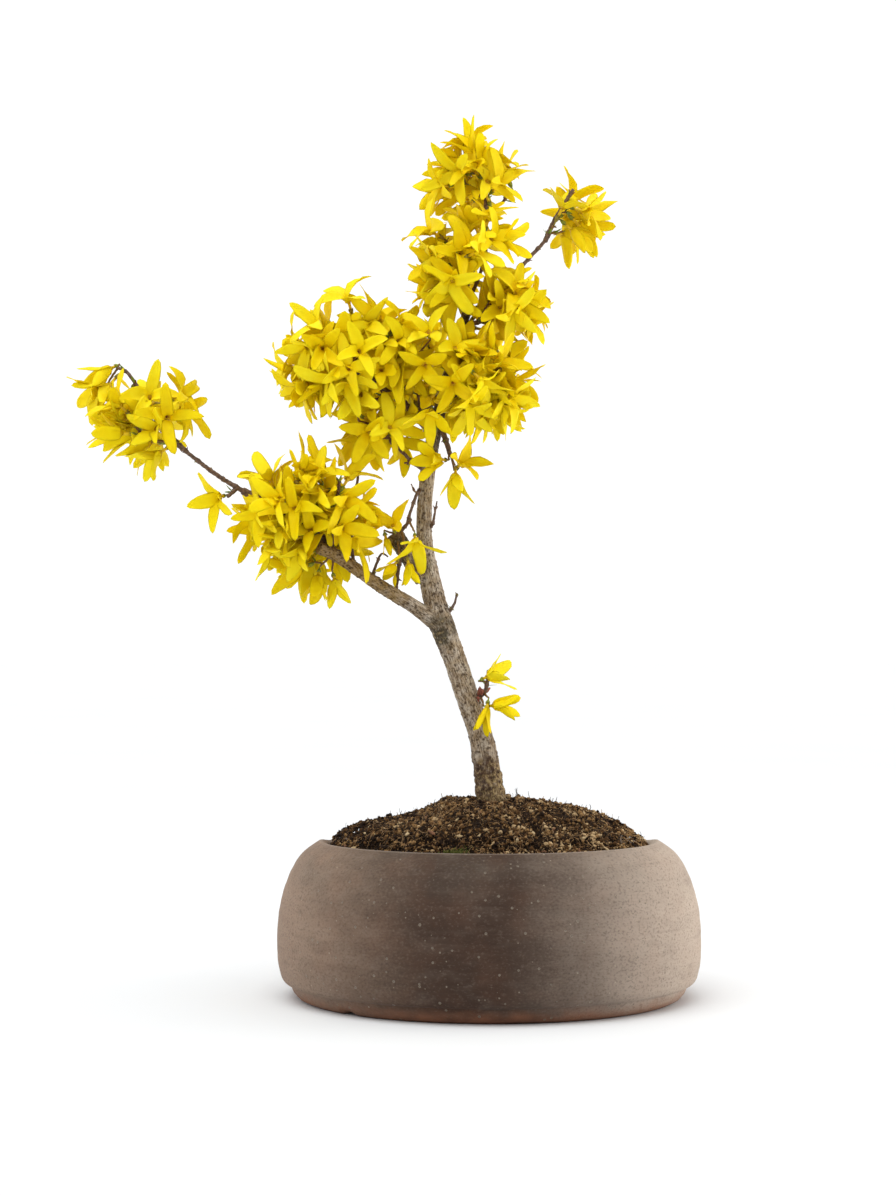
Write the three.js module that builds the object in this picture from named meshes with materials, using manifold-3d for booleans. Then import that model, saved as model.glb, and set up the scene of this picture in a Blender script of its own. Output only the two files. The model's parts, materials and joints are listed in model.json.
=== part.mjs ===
// A forsythia bonsai in full flower, in its round stoneware pot.
// Millimetres, +Z up. The origin is the middle of the pot's flat underside, and -Y is the front.
// The leaning trunk stands on a mound of soil. Its boughs end where they enter the blossom, and
// each mass of blossom is one solid: twigs that branch from a stem, with the flowers fused on.

import * as THREE from "three";
import { mergeVertices } from "three/addons/utils/BufferGeometryUtils.js";
import Module from "manifold-3d";

const wasm = await Module();
wasm.setup();

// Clearance between two pieces that touch
const GAP = 0.3;

// Pot: a squat, thick-walled bowl, thrown with a foot band and a rounded shoulder
const POT = {
  footRadius: 92,
  bandRadius: 98.5,
  bandHeight: 7,
  bandEase: 1,
  // Outer wall from the ledge to the lip, as [radius, height]
  wall: [[102.5, 9], [104.9, 22], [104.6, 38], [102.2, 51], [97.6, 63], [92.4, 70.5], [84.8, 76]],
  lipInner: 79.3,
  lipCrown: 0.9,
  lipRound: 0.6,
  // Inner wall from the lip down to the floor, as [radius, height]
  inside: [[79.3, 74], [92.2, 61], [98.1, 40], [97.2, 20], [91, 9.5], [85, 8]],
  floor: 8,
  sides: 48,
};

// Soil: it fills the pot, and mounds up to a flat seat under the trunk
const SOIL = {
  edgeHeight: 73.5,
  moundRise: 23.5,
  moundPower: 2.2,
  seatHeight: 93.4,
  seatRadius: 9,
  seatBlend: 16,
  rings: [9, 16, 28, 42, 56, 68],
  wallGap: 0.4,
  sides: 24,
};

// Limbs: each is one tapering tube along its route, from where it grows to where it enters blossom.
// radius holds the bark's radius at each point of the route.
const FOOT = SOIL.seatHeight + GAP;
const LIMBS = {
  trunk: {
    route: [
      [1.6, 0, FOOT], [-3.4, -0.5, 125.6], [-10.3, -1, 146.5], [-16.8, -1, 165.8],
      [-22.7, 0, 181.7], [-28.2, 1, 200.6], [-32.2, 2, 229.4], [-29.7, 0, 264.1],
      [-20.8, 2, 304.9], [-8.8, 0, 346.1],
    ],
    radius: [7.4, 5.9, 5.5, 5.5, 6.1, 5.4, 3.7, 3.6, 2.8, 1.9],
    sides: 12,
  },
  left_bough: {
    route: [
      [-23.7, -0.5, 182.2], [-37.4, -5, 192.6], [-54, -8.5, 202.6], [-73.9, -12, 216.5],
      [-83.8, -17, 220.9],
    ],
    radius: [4.4, 3.5, 3.2, 3, 2.9],
    sides: 10,
  },
  cut_stub: {
    route: [[-32.2, 1, 205.6], [-38.1, 1, 214.5], [-47.1, 1, 228.9]],
    radius: [4.6, 4.4, 4],
    sides: 10,
  },
  left_branch: {
    route: [[-122.3, -13, 249.7], [-131.5, -14, 255.2], [-139.9, -14.5, 261.2], [-150.3, -15, 269.4]],
    radius: [1.9, 1.75, 1.6, 1.5],
    sides: 8,
  },
  top_branch: {
    route: [[-9.8, 0, 345.1], [-4.4, 2, 358], [-1.4, 3, 368.4], [-1.9, 4, 376.3]],
    radius: [1.5, 1.4, 1.3, 1.2],
    sides: 8,
  },
  right_branch: {
    route: [[-13.3, 2, 335.6], [5.6, 10, 351.5], [15.5, 12, 362.4], [28.9, 14, 377.3]],
    radius: [1.9, 1.7, 1.6, 1.4],
    sides: 8,
  },
  inner_twig: {
    route: [[-30.2, 0, 259.2], [-37.6, -3, 263.6], [-43.3, -5, 269.3], [-48.1, -6, 273.6]],
    radius: [1.6, 1.4, 1.3, 1.2],
    sides: 8,
  },
  back_bough: {
    route: [[-24.2, 1, 290.9], [-22.2, 12, 298.9], [-21.3, 24, 304.9]],
    radius: [2.2, 1.9, 1.7],
    sides: 8,
  },
};
const LIMB_STEPS = 2;

// Blossom: every mass grows along its own stem inside an ellipsoid of space.
// girth: stem radius at its root and at its tip. twigs: how many branch off, length: how long they are.
// flowers: the most it carries. pairs: how often two sit on one bud. droop: how much they nod.
// open: the share that is wide open. seeds: one draws the twigs, one the flowers.
const MASSES = {
  spur: {
    stem: [[-124.5, -14, 249.7], [-126.5, -16, 247.8], [-128.5, -17, 245.8]],
    girth: [1, 0.8], twigs: 0, length: [8, 8],
    centre: [-139.4, -18, 241.3], reach: [17.9, 26, 17.9],
    flowers: 1, pairs: 0, droop: 0.2, open: 1, seeds: [248, 203],
  },
  inner_left: {
    stem: [[-48.6, -6.2, 274.1], [-54, -7, 279], [-61.5, -8, 283]],
    girth: [1.1, 0.8], twigs: 4, length: [10, 22],
    centre: [-52.5, -4, 280], reach: [31.8, 36, 23.8],
    flowers: 8, pairs: 0.3, droop: 0.5, open: 0.55, seeds: [316, 221],
  },
  low_right: {
    stem: [[-25.2, -2, 285], [-22.2, -6, 277], [-19.3, -8, 267.6]],
    girth: [1.6, 1.2], twigs: 1, length: [6, 10],
    centre: [-16.8, -9, 262.2], reach: [22.8, 30, 22.8],
    flowers: 4, pairs: 0.6, droop: 0.4, open: 0.55, seeds: [392, 76],
  },
  fork: {
    stem: [[-45.1, 0, 228.4], [-42.1, -4, 231.4], [-38.6, -8, 235.3]],
    girth: [1.1, 0.8], twigs: 2, length: [8, 14],
    centre: [-42.6, -9, 222.9], reach: [25.8, 32, 26.8],
    flowers: 5, pairs: 0.3, droop: 0.4, open: 0.55, seeds: [45, 107],
  },
  trunk_shoot: {
    stem: [[-6.9, -2, 146.5], [-2.4, -4, 149.4], [-0.9, -5, 154.9], [-0.4, -5, 160.9]],
    girth: [1.2, 0.8], twigs: 2, length: [5, 8],
    centre: [5.6, -7, 149.9], reach: [20.9, 30, 32.8],
    flowers: 4, pairs: 0.6, droop: 0.15, open: 0, seeds: [412, 152],
  },
  upper_right: {
    stem: [[-14.8, 0, 330.7], [-5.4, -4, 333.6], [3.6, -7, 338.6], [10.5, -9, 342.6]],
    girth: [1.4, 0.9], twigs: 6, length: [10, 22],
    centre: [8, -4, 342.1], reach: [24.8, 34, 27.8],
    flowers: 12, pairs: 0.3, droop: 0.3, open: 0.55, seeds: [412, 85],
  },
  left: {
    stem: [
      [-76.9, -12, 219], [-85.8, -11, 228.9], [-94.7, -11, 236.3], [-108.6, -12, 242.8],
      [-121.5, -13, 249.2],
    ],
    girth: [2.4, 1.9], twigs: 14, length: [16, 36],
    centre: [-86.8, -11, 235.3], reach: [42.7, 46, 50.6],
    flowers: 42, pairs: 0.3, droop: 0.25, open: 0.55, seeds: [72, 72],
  },
  middle_left: {
    stem: [[-28.7, 0, 279], [-38.1, -5, 289], [-51.5, -8, 299.9], [-67.9, -10, 312.3], [-82.8, -12, 319.7]],
    girth: [2.2, 1.2], twigs: 13, length: [16, 34],
    centre: [-67.9, -9, 314.8], reach: [41.7, 46, 39.7],
    flowers: 38, pairs: 0.3, droop: 0.25, open: 0.55, seeds: [84, 256],
  },
  middle_right: {
    stem: [[-21.3, 0, 293.9], [-13.3, -4, 298.9], [-3.4, -7, 302.9], [5.6, -9, 305.8]],
    girth: [2, 1.2], twigs: 9, length: [12, 30],
    centre: [-3.4, -7, 302.9], reach: [30.8, 44, 32.8],
    flowers: 25, pairs: 0.3, droop: 0.3, open: 0.55, seeds: [90, 138],
  },
  upper: {
    stem: [[-11.3, -1, 340.6], [-15.3, -5, 348.5], [-17.3, -8, 357], [-14.3, -9, 366.9]],
    girth: [1.4, 0.9], twigs: 9, length: [12, 32],
    centre: [-9.3, -5, 363.4], reach: [36.7, 38, 37.7],
    flowers: 20, pairs: 0.3, droop: 0.3, open: 0.55, seeds: [82, 415],
  },
  top: {
    stem: [[-1.9, 4, 376.8], [-2.4, 4, 386.8], [-0.9, 3, 398.2], [-4.4, 2, 411.6]],
    girth: [1.15, 0.8], twigs: 7, length: [10, 24],
    centre: [-6.4, 3, 404.2], reach: [30.8, 36, 35.7],
    flowers: 17, pairs: 0.4, droop: 0.2, open: 0.55, seeds: [160, 52],
  },
  far_left: {
    stem: [
      [-150.8, -15.2, 269.8], [-160.8, -15, 281], [-167.7, -14, 292.4], [-173.7, -12, 300.9],
      [-178.6, -10, 307.8], [-183.6, -9, 310.3],
    ],
    girth: [1.4, 0.8], twigs: 7, length: [10, 24],
    centre: [-174.2, -12, 285], reach: [41.7, 38, 36.7],
    flowers: 24, pairs: 0.5, droop: 0.4, open: 0.4, seeds: [374, 374],
  },
  top_right: {
    stem: [[29.1, 14, 377.8], [32.9, 14, 386.3], [37.8, 13, 394.7], [42.8, 12, 402.7]],
    girth: [1.35, 0.9], twigs: 4, length: [7, 14],
    centre: [44.8, 13, 387.3], reach: [24.8, 32, 29.8],
    flowers: 11, pairs: 0.5, droop: 0.4, open: 0.55, seeds: [304, 304],
  },
  rear: {
    stem: [[-21.3, 24.4, 305.1], [-24.2, 36, 310.8], [-31.7, 46, 315.8], [-40.1, 52, 318.8]],
    girth: [1.6, 1], twigs: 8, length: [14, 26],
    centre: [-29.2, 50, 311.8], reach: [35.7, 38, 32.8],
    flowers: 20, pairs: 0.3, droop: 0.3, open: 0.55, seeds: [477, 320],
  },
};

// Twigs and buds. Angles are in radians, and a pair of numbers is the range that a value is drawn from.
const STEM_STEPS = 2;
const TWIG_STEPS = 1;
const TWIG_SIDES = 3;
const TWIG_PLACE = [0.3, 0.9];
const TWIG_SWAY = [-0.5, 0.5];
const TWIG_PITCH = [0.3, 0.85];
const TWIG_RISE = 0.15;
const TWIG_TIP = 0.6;
const TWIG_TAPER = 0.85;
const TWIG_SHRINKS = [1, 0.7, 0.45];
const TWIG_CLEARANCE = 1.6;
const TWIG_REACH = 0.9;
const GOLDEN_ANGLE = 2.399963;
const FULL_TURN = 6.283;
const HALF_TURN = [0, 3.14];
const QUARTER_TURN = [0, 1.5708];
const FIRST_NODE = { stem: 4, twig: 4.5 };
const NODE_GAP = [6.5, 9];
const NODE_TURN = [-0.3, 0.3];
const SEED_STEPS = { mass: 7919, bud: 104729 };

// Flower: a funnel on a short stalk, and four strap-shaped petals
const PETALS = 4;
const FLOWER = {
  stalk: [7.5, 9.5],
  petal: [16, 20.5],
  budPetal: [12.5, 15.5],
  wide: [0.95, 1.35],
  half: [0.5, 0.95],
  bud: [0.2, 0.5],
  halfWidth: 3.3,
  fullestAt: 0.6,
  keel: 1,
  edge: 0.25,
  funnelRadius: 1.6,
  funnelDrop: 1.2,
  throatRadius: 1.1,
  throatRise: 0.6,
  rootDepth: 0.4,
  leastPetals: 2,
  tries: 5,
  apart: 5.6,
  lift: [0.1, 1],
  tipLift: 1.4,
  sway: [-0.6, 0.6],
  twinSway: 0.9,
  nod: [0.4, 1.6],
  outward: 0.5,
  sideRoom: 0.85,
};

// How near two flowers or a flower and a limb may come, measured round petal and stalk centre lines
const CLEAR = {
  petal: 1.9,
  petalFrom: 1,
  stalk: 0.9,
  stalkFrom: 3,
  stalkToLimb: 1.4,
  limb: 0.3,
  masses: 0.2,
  near: 40,
  limbsNear: 35,
};
const TOUCH_VOLUME = 1e-6;

const COLOURS = {
  stoneware: { color: 0x6b5b50, roughness: 0.85 },
  soil: { color: 0x3a2a1f, roughness: 1 },
  bark: { color: 0x7d6f60, roughness: 0.9 },
  twig: { color: 0x6e4a35, roughness: 0.8 },
  blossom: { color: 0xf2d311, roughness: 0.6 },
};

// Vectors

const vec = (p) => new THREE.Vector3(p[0], p[1], p[2]);
const along = (p, direction, distance) => p.clone().addScaledVector(direction, distance);

/** Two directions square to a direction and to each other. */
function frameOf(direction) {
  const reference = Math.abs(direction.y) < 0.9 ? new THREE.Vector3(0, 1, 0) : new THREE.Vector3(1, 0, 0);
  const u = direction.clone().cross(reference).normalize();
  const v = direction.clone().cross(u);
  return { u, v };
}

/** The direction at an angle round an axis whose frame is u, v. */
const around = (u, v, angle) => u.clone().multiplyScalar(Math.cos(angle)).addScaledVector(v, Math.sin(angle));

/** Shortest distance between two straight stretches p1 to q1 and p2 to q2. */
function stretchDistance(p1, q1, p2, q2) {
  const d1 = q1.clone().sub(p1);
  const d2 = q2.clone().sub(p2);
  const r = p1.clone().sub(p2);
  const a = d1.dot(d1);
  const e = d2.dot(d2);
  const b = d1.dot(d2);
  const c = d1.dot(r);
  const f = d2.dot(r);
  const clamp = (x) => Math.min(Math.max(x, 0), 1);
  const slant = a * e - b * b;
  let s = slant > 1e-9 ? clamp((b * f - c * e) / slant) : 0;
  let t = (b * s + f) / e;
  if (t < 0) {
    t = 0;
    s = clamp(-c / a);
  } else if (t > 1) {
    t = 1;
    s = clamp((b - c) / a);
  }
  return along(p1, d1, s).distanceTo(along(p2, d2, t));
}

// Seeded numbers: the same seed always grows the same plant

class Dice {
  constructor(seed) {
    this.state = Math.imul(seed, 0x9e3779b1) >>> 0;
    for (let i = 0; i < 3; i += 1) this.next();
  }

  next() {
    this.state = (Math.imul(1664525, this.state) + 1013904223) >>> 0;
    return this.state / 4294967296;
  }

  span(range) {
    return range[0] + (range[1] - range[0]) * this.next();
  }
}

// Lines

/** A smooth line through the points, with a number of steps from each to the next. */
function smooth(points, steps) {
  const line = [];
  const last = points.length - 1;
  const blend = (p0, p1, p2, p3, t) =>
    0.5 * (2 * p1 + (p2 - p0) * t + (2 * p0 - 5 * p1 + 4 * p2 - p3) * t * t
      + (3 * p1 - p0 - 3 * p2 + p3) * t * t * t);
  for (let i = 0; i < last; i += 1) {
    const hull = [points[Math.max(i - 1, 0)], points[i], points[i + 1], points[Math.min(i + 2, last)]];
    for (let k = 0; k < steps; k += 1) {
      line.push(hull[0].map((_, axis) => blend(...hull.map((p) => p[axis]), k / steps)));
    }
  }
  line.push(points[last]);
  return line;
}

const lineThrough = (points, steps) => smooth(points, steps).map(vec);

/** Values given at a line's main points, spread over its steps. */
function spread(values, steps) {
  const count = (values.length - 1) * steps;
  return Array.from({ length: count + 1 }, (_, i) => {
    const j = Math.min(Math.floor(i / steps), values.length - 2);
    const part = i / steps - j;
    return values[j] * (1 - part) + values[j + 1] * part;
  });
}

function lengthOf(line) {
  let total = 0;
  for (let i = 1; i < line.length; i += 1) total += line[i].distanceTo(line[i - 1]);
  return total;
}

/** Point and direction at a distance along a line. */
function pointAt(line, distance) {
  let left = distance;
  for (let i = 1; i < line.length; i += 1) {
    const step = line[i].distanceTo(line[i - 1]);
    if (left <= step || i === line.length - 1) {
      const direction = line[i].clone().sub(line[i - 1]);
      const share = Math.min(Math.max(left / step, 0), 1);
      return { point: along(line[i - 1], direction, share), direction: direction.normalize() };
    }
    left -= step;
  }
  throw new Error("a line needs two points");
}

// Solids

/** A closed solid from its corners and its triangles. */
function solidOf(corners, triangles) {
  return new wasm.Manifold(new wasm.Mesh({
    numProp: 3,
    vertProperties: new Float32Array(corners.flatMap((p) => [p.x, p.y, p.z])),
    triVerts: new Uint32Array(triangles.flat()),
  }));
}

/** A tube along a line, with a radius at each of its points. A foot is cut level. */
function tube(line, radii, sides, levelFoot = false) {
  const corners = [];
  const triangles = [];
  let side = null;
  line.forEach((point, ring) => {
    const before = line[Math.max(ring - 1, 0)];
    const after = line[Math.min(ring + 1, line.length - 1)];
    const direction = after.clone().sub(before).normalize();
    if (side === null) side = frameOf(direction).u;
    side = side.clone().addScaledVector(direction, -side.dot(direction)).normalize();
    const other = direction.clone().cross(side);
    for (let k = 0; k < sides; k += 1) {
      const out = around(side, other, (2 * Math.PI * k) / sides);
      const corner = along(point, out, radii[ring]);
      if (levelFoot && ring === 0) corner.addScaledVector(direction, (point.z - corner.z) / direction.z);
      corners.push(corner);
    }
  });
  for (let ring = 0; ring < line.length - 1; ring += 1) {
    for (let k = 0; k < sides; k += 1) {
      const a = ring * sides + k;
      const b = ring * sides + ((k + 1) % sides);
      triangles.push([a, b, b + sides], [a, b + sides, a + sides]);
    }
  }
  const end = (line.length - 1) * sides;
  for (let k = 1; k < sides - 1; k += 1) {
    triangles.push([0, k + 1, k], [end, end + k, end + k + 1]);
  }
  return solidOf(corners, triangles);
}

/** A limb's tube, made thicker and longer all round by a margin. */
function limbSolid(limb, margin = 0) {
  const line = lineThrough(limb.route, LIMB_STEPS);
  const last = line.length - 1;
  if (margin > 0) {
    const foot = line[0].clone().sub(line[1]).normalize();
    const tip = line[last].clone().sub(line[last - 1]).normalize();
    line[0] = along(line[0], foot, margin);
    line[last] = along(line[last], tip, margin);
  }
  const radii = spread(limb.radius, LIMB_STEPS).map((radius) => radius + margin);
  return tube(line, radii, limb.sides, limb === LIMBS.trunk && margin === 0);
}

/** The biggest piece of a solid, with any hollow inside it filled. */
function biggestPiece(solid) {
  const pieces = solid.decompose();
  const sizes = pieces.map((piece) => piece.volume());
  return pieces[sizes.indexOf(Math.max(...sizes))];
}

function geometryOf(solid) {
  const mesh = solid.getMesh();
  const geometry = new THREE.BufferGeometry();
  geometry.setAttribute("position", new THREE.BufferAttribute(mesh.vertProperties, 3));
  geometry.setIndex(new THREE.BufferAttribute(mesh.triVerts, 1));
  return geometry;
}

// Growth

/** Straight stretches of every limb with their radii, for keeping twigs and flowers clear of them. */
function limbStretches() {
  return Object.values(LIMBS).flatMap((limb) => {
    const line = lineThrough(limb.route, LIMB_STEPS);
    const radii = spread(limb.radius, LIMB_STEPS);
    return line.slice(0, -1).map((point, i) => ({ from: point, to: line[i + 1], radius: radii[i] }));
  });
}

/** How far out a point is in a mass's space: 0 at its centre and 1 at its edge. */
function spaceShare(mass, point) {
  return Math.hypot(...["x", "y", "z"].map((axis, i) => (point[axis] - mass.centre[i]) / mass.reach[i]));
}

/** The stem and the twigs that branch off it, skipping those that leave the space or meet a limb. */
function growTwigs(mass, dice, limbs) {
  const stem = lineThrough(mass.stem, STEM_STEPS);
  const stemLength = lengthOf(stem);
  const axes = [{ line: stem, girth: mass.girth, first: FIRST_NODE.stem, reach: mass.girth[0] }];
  let start = 0;
  for (let i = 0; i < mass.twigs; i += 1) {
    const { point, direction } = pointAt(stem, (stemLength * (i + dice.span(TWIG_PLACE))) / mass.twigs);
    const { u, v } = frameOf(direction);
    let angle = GOLDEN_ANGLE * i + dice.span(TWIG_SWAY);
    const turn = FULL_TURN * dice.next();
    if (i === 0) start = angle + turn;
    angle = i === 0 ? start : angle + start;
    const pitch = dice.span(TWIG_PITCH);
    const length = dice.span(mass.length);
    const heading = around(u, v, angle).multiplyScalar(Math.cos(pitch));
    heading.addScaledVector(direction, Math.sin(pitch)).normalize();
    for (const shrink of TWIG_SHRINKS) {
      const reach = length * shrink;
      const tip = along(point, heading, reach);
      tip.z += TWIG_RISE * reach;
      const middle = along(point, heading, reach / 2);
      const line = lineThrough([point, middle, tip].map((p) => p.toArray()), TWIG_STEPS);
      const touches = limbs.some((limb) => line.slice(1, -1).some((from, k) =>
        stretchDistance(from, line[k + 2], limb.from, limb.to) < limb.radius + TWIG_CLEARANCE));
      if (spaceShare(mass, tip) <= TWIG_REACH && !touches) {
        const root = mass.girth[1] * TWIG_TAPER;
        axes.push({ line, girth: [root, TWIG_TIP], first: FIRST_NODE.twig, reach: TWIG_TIP });
        break;
      }
    }
  }
  return axes;
}

/** Where buds sit: opposite pairs along each axis, each pair turned across the last, and one at its tip. */
function budPlaces(axes, dice) {
  return axes.flatMap((axis) => {
    const places = [];
    const end = lengthOf(axis.line);
    let distance = axis.first;
    let turn = dice.span(HALF_TURN);
    while (distance <= end) {
      places.push({ axis, distance, angle: turn }, { axis, distance, angle: turn + Math.PI });
      turn += Math.PI / 2 + dice.span(NODE_TURN);
      distance += dice.span(NODE_GAP);
    }
    places.push({ axis, distance: end, angle: null });
    return places;
  });
}

/** The directions of a flower's petals, and outwards at each of them. */
function petalsOf(flower) {
  const { u, v } = frameOf(flower.direction);
  return Array.from({ length: PETALS }, (_, k) => {
    const out = around(u, v, flower.roll + (k * Math.PI) / 2);
    const heading = flower.direction.clone().multiplyScalar(Math.cos(flower.spread));
    return { out, heading: heading.addScaledVector(out, Math.sin(flower.spread)) };
  });
}

/** Centre lines of a flower's stalk and petals with their radii. */
function stretchesOf(flower) {
  const petals = petalsOf(flower).map(({ heading }) => ({
    from: along(flower.throat, heading, CLEAR.petalFrom),
    to: along(flower.throat, heading, flower.petal),
    radius: CLEAR.petal,
  }));
  return [{ from: flower.root, to: flower.throat, radius: CLEAR.stalk }, ...petals];
}

/** Whether a flower fits: inside the space, clear of the limbs and of other flowers. */
function fits(flower, mass, limbs, own, others) {
  const tips = petalsOf(flower).map(({ heading }) => along(flower.throat, heading, flower.petal));
  if (![flower.throat, ...tips].every((point) => spaceShare(mass, point) <= 1)) return false;
  const stretches = stretchesOf(flower);
  const stalkFrom = along(flower.root, flower.direction, CLEAR.stalkFrom);
  for (const limb of limbs) {
    if (limb.from.distanceTo(flower.throat) > CLEAR.near) continue;
    for (const petal of stretches.slice(1)) {
      const room = limb.radius + petal.radius + CLEAR.limb;
      if (stretchDistance(petal.from, petal.to, limb.from, limb.to) < room) return false;
    }
    const room = limb.radius + CLEAR.stalkToLimb;
    if (stretchDistance(stalkFrom, flower.throat, limb.from, limb.to) < room) return false;
  }
  if (own.some((other) => other.throat.distanceTo(flower.throat) < FLOWER.apart)) return false;
  for (const other of others) {
    if (other.throat.distanceTo(flower.throat) > CLEAR.near) continue;
    for (const a of stretches) {
      for (const b of other.stretches) {
        if (stretchDistance(a.from, a.to, b.from, b.to) < a.radius + b.radius + CLEAR.masses) return false;
      }
    }
  }
  flower.stretches = stretches;
  return true;
}

/** One try at a flower on a bud place, drawn from the bud's own dice. */
function drawFlower(mass, place, twin, dice) {
  const { point, direction } = pointAt(place.axis.line, place.distance);
  const { u, v } = frameOf(direction);
  const lift = place.angle === null ? FLOWER.tipLift : dice.span(FLOWER.lift);
  const angle = (place.angle ?? 0) + dice.span(FLOWER.sway) + twin;
  const droop = mass.droop * dice.span(FLOWER.nod);
  const roll = dice.span(QUARTER_TURN);
  const closed = mass.open > 0 ? FLOWER.half : FLOWER.bud;
  const opening = dice.span(dice.next() < mass.open ? FLOWER.wide : closed);
  const petal = dice.span(mass.open > 0 ? FLOWER.petal : FLOWER.budPetal);
  const stalk = dice.span(FLOWER.stalk);
  const heading = around(u, v, angle).multiplyScalar(Math.cos(lift));
  heading.addScaledVector(direction, Math.sin(lift));
  const outward = point.clone().sub(vec(mass.centre));
  heading.addScaledVector(outward, FLOWER.outward / Math.max(...mass.reach));
  heading.z -= droop;
  heading.normalize();
  const throat = along(point, heading, stalk + place.axis.reach);
  return { axis: place.axis, root: point, direction: heading, throat, roll, spread: opening, petal };
}

/** All the flowers of a mass. Each bud has its own dice, so one that is skipped changes no other. */
function growFlowers(mass, places, limbs, others) {
  const flowers = [];
  places.forEach((place, i) => {
    const dice = new Dice(mass.seeds[1] * SEED_STEPS.mass + (i + 1) * SEED_STEPS.bud);
    const count = dice.next() < mass.pairs ? 2 : 1;
    for (let k = 0; k < count; k += 1) {
      const twin = count > 1 ? FLOWER.twinSway * (k - 0.5) : 0;
      for (let attempt = 0; attempt < FLOWER.tries; attempt += 1) {
        const flower = drawFlower(mass, place, twin, dice);
        if (flowers.length < mass.flowers && fits(flower, mass, limbs, flowers, others)) {
          flowers.push(flower);
          break;
        }
      }
    }
  });
  return flowers;
}

// Blossom solids

/** Corners and triangles of a flower's funnel, whose apex is sunk in its twig. */
function funnelOf(flower, margin) {
  const { u, v } = frameOf(flower.direction);
  const ring = (radius, rise) => Array.from({ length: PETALS }, (_, k) => {
    const out = around(u, v, flower.roll + ((k - 0.5) * Math.PI) / 2);
    return along(along(flower.throat, flower.direction, rise), out, radius + margin);
  });
  const corners = [
    ...ring(FLOWER.funnelRadius, -FLOWER.funnelDrop),
    ...ring(FLOWER.throatRadius, FLOWER.throatRise),
    along(flower.root, flower.direction, -FLOWER.rootDepth * flower.axis.reach),
  ];
  return { corners, triangles: [[4, 5, 6], [4, 6, 7]] };
}

/** Corners and triangles of one keeled petal, which stands on a side of the funnel. */
function addPetal(flower, k, margin, corners, triangles) {
  const { out, heading } = petalsOf(flower)[k];
  const next = (k + 1) % PETALS;
  const [back, backNext, front, frontNext] = [k, next, PETALS + k, PETALS + next];
  const middle = FLOWER.fullestAt * flower.petal;
  const room = FLOWER.sideRoom * middle * Math.sin(flower.spread);
  const halfWidth = Math.min(FLOWER.halfWidth, room) + margin;
  const face = flower.direction.clone().multiplyScalar(Math.sin(flower.spread));
  face.addScaledVector(out, -Math.cos(flower.spread));
  const side = face.clone().cross(heading);
  const centre = along(flower.throat, heading, middle);
  const edge = along(centre, face, FLOWER.edge + margin);
  const left = corners.length;
  const [right, keel, tip] = [left + 1, left + 2, left + 3];
  corners.push(
    along(edge, side, -halfWidth),
    along(edge, side, halfWidth),
    along(centre, face, -FLOWER.keel - margin),
    along(flower.throat, heading, flower.petal + margin),
  );
  triangles.push(
    [front, left, right], [front, right, frontNext],
    [back, keel, left], [back, left, front],
    [backNext, frontNext, right], [backNext, right, keel],
    [back, backNext, keel],
    [left, tip, right], [left, keel, tip], [keel, right, tip],
  );
}

/** One flower: stalk and funnel with the petals that it keeps. */
function flowerSolid(flower, petals, margin = 0) {
  const { corners, triangles } = funnelOf(flower, margin);
  const root = 2 * PETALS;
  for (let k = 0; k < PETALS; k += 1) {
    const next = (k + 1) % PETALS;
    triangles.push([k, root, next]);
    if (petals.includes(k)) {
      addPetal(flower, k, margin, corners, triangles);
    } else {
      triangles.push([k, next, PETALS + next], [k, PETALS + next, PETALS + k]);
    }
  }
  return solidOf(corners, triangles);
}

/** One petal by itself, closed at its foot. */
function petalSolid(flower, k, margin) {
  const { corners } = funnelOf(flower, margin);
  const next = (k + 1) % PETALS;
  const triangles = [[k, PETALS + next, next], [k, PETALS + k, PETALS + next]];
  addPetal(flower, k, margin, corners, triangles);
  return solidOf(corners, triangles);
}

/** The solids of a mass's stem and twigs. */
function twigSolid(axis, margin = 0) {
  const last = axis.line.length - 1;
  const radii = axis.line.map((_, i) => axis.girth[0] + ((axis.girth[1] - axis.girth[0]) * i) / last + margin);
  return tube(axis.line, radii, TWIG_SIDES);
}

const meets = (a, b) => a.intersect(b).volume() > TOUCH_VOLUME;

const stretches = limbStretches();
const limbRoom = Object.values(LIMBS).map((limb) => limbSolid(limb, GAP));
const limbsWithRoom = wasm.Manifold.union(limbRoom);
const stemRoom = {};
for (const [name, mass] of Object.entries(MASSES)) {
  const line = lineThrough(mass.stem, STEM_STEPS);
  stemRoom[name] = twigSolid({ line, girth: mass.girth }, GAP);
}

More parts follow.
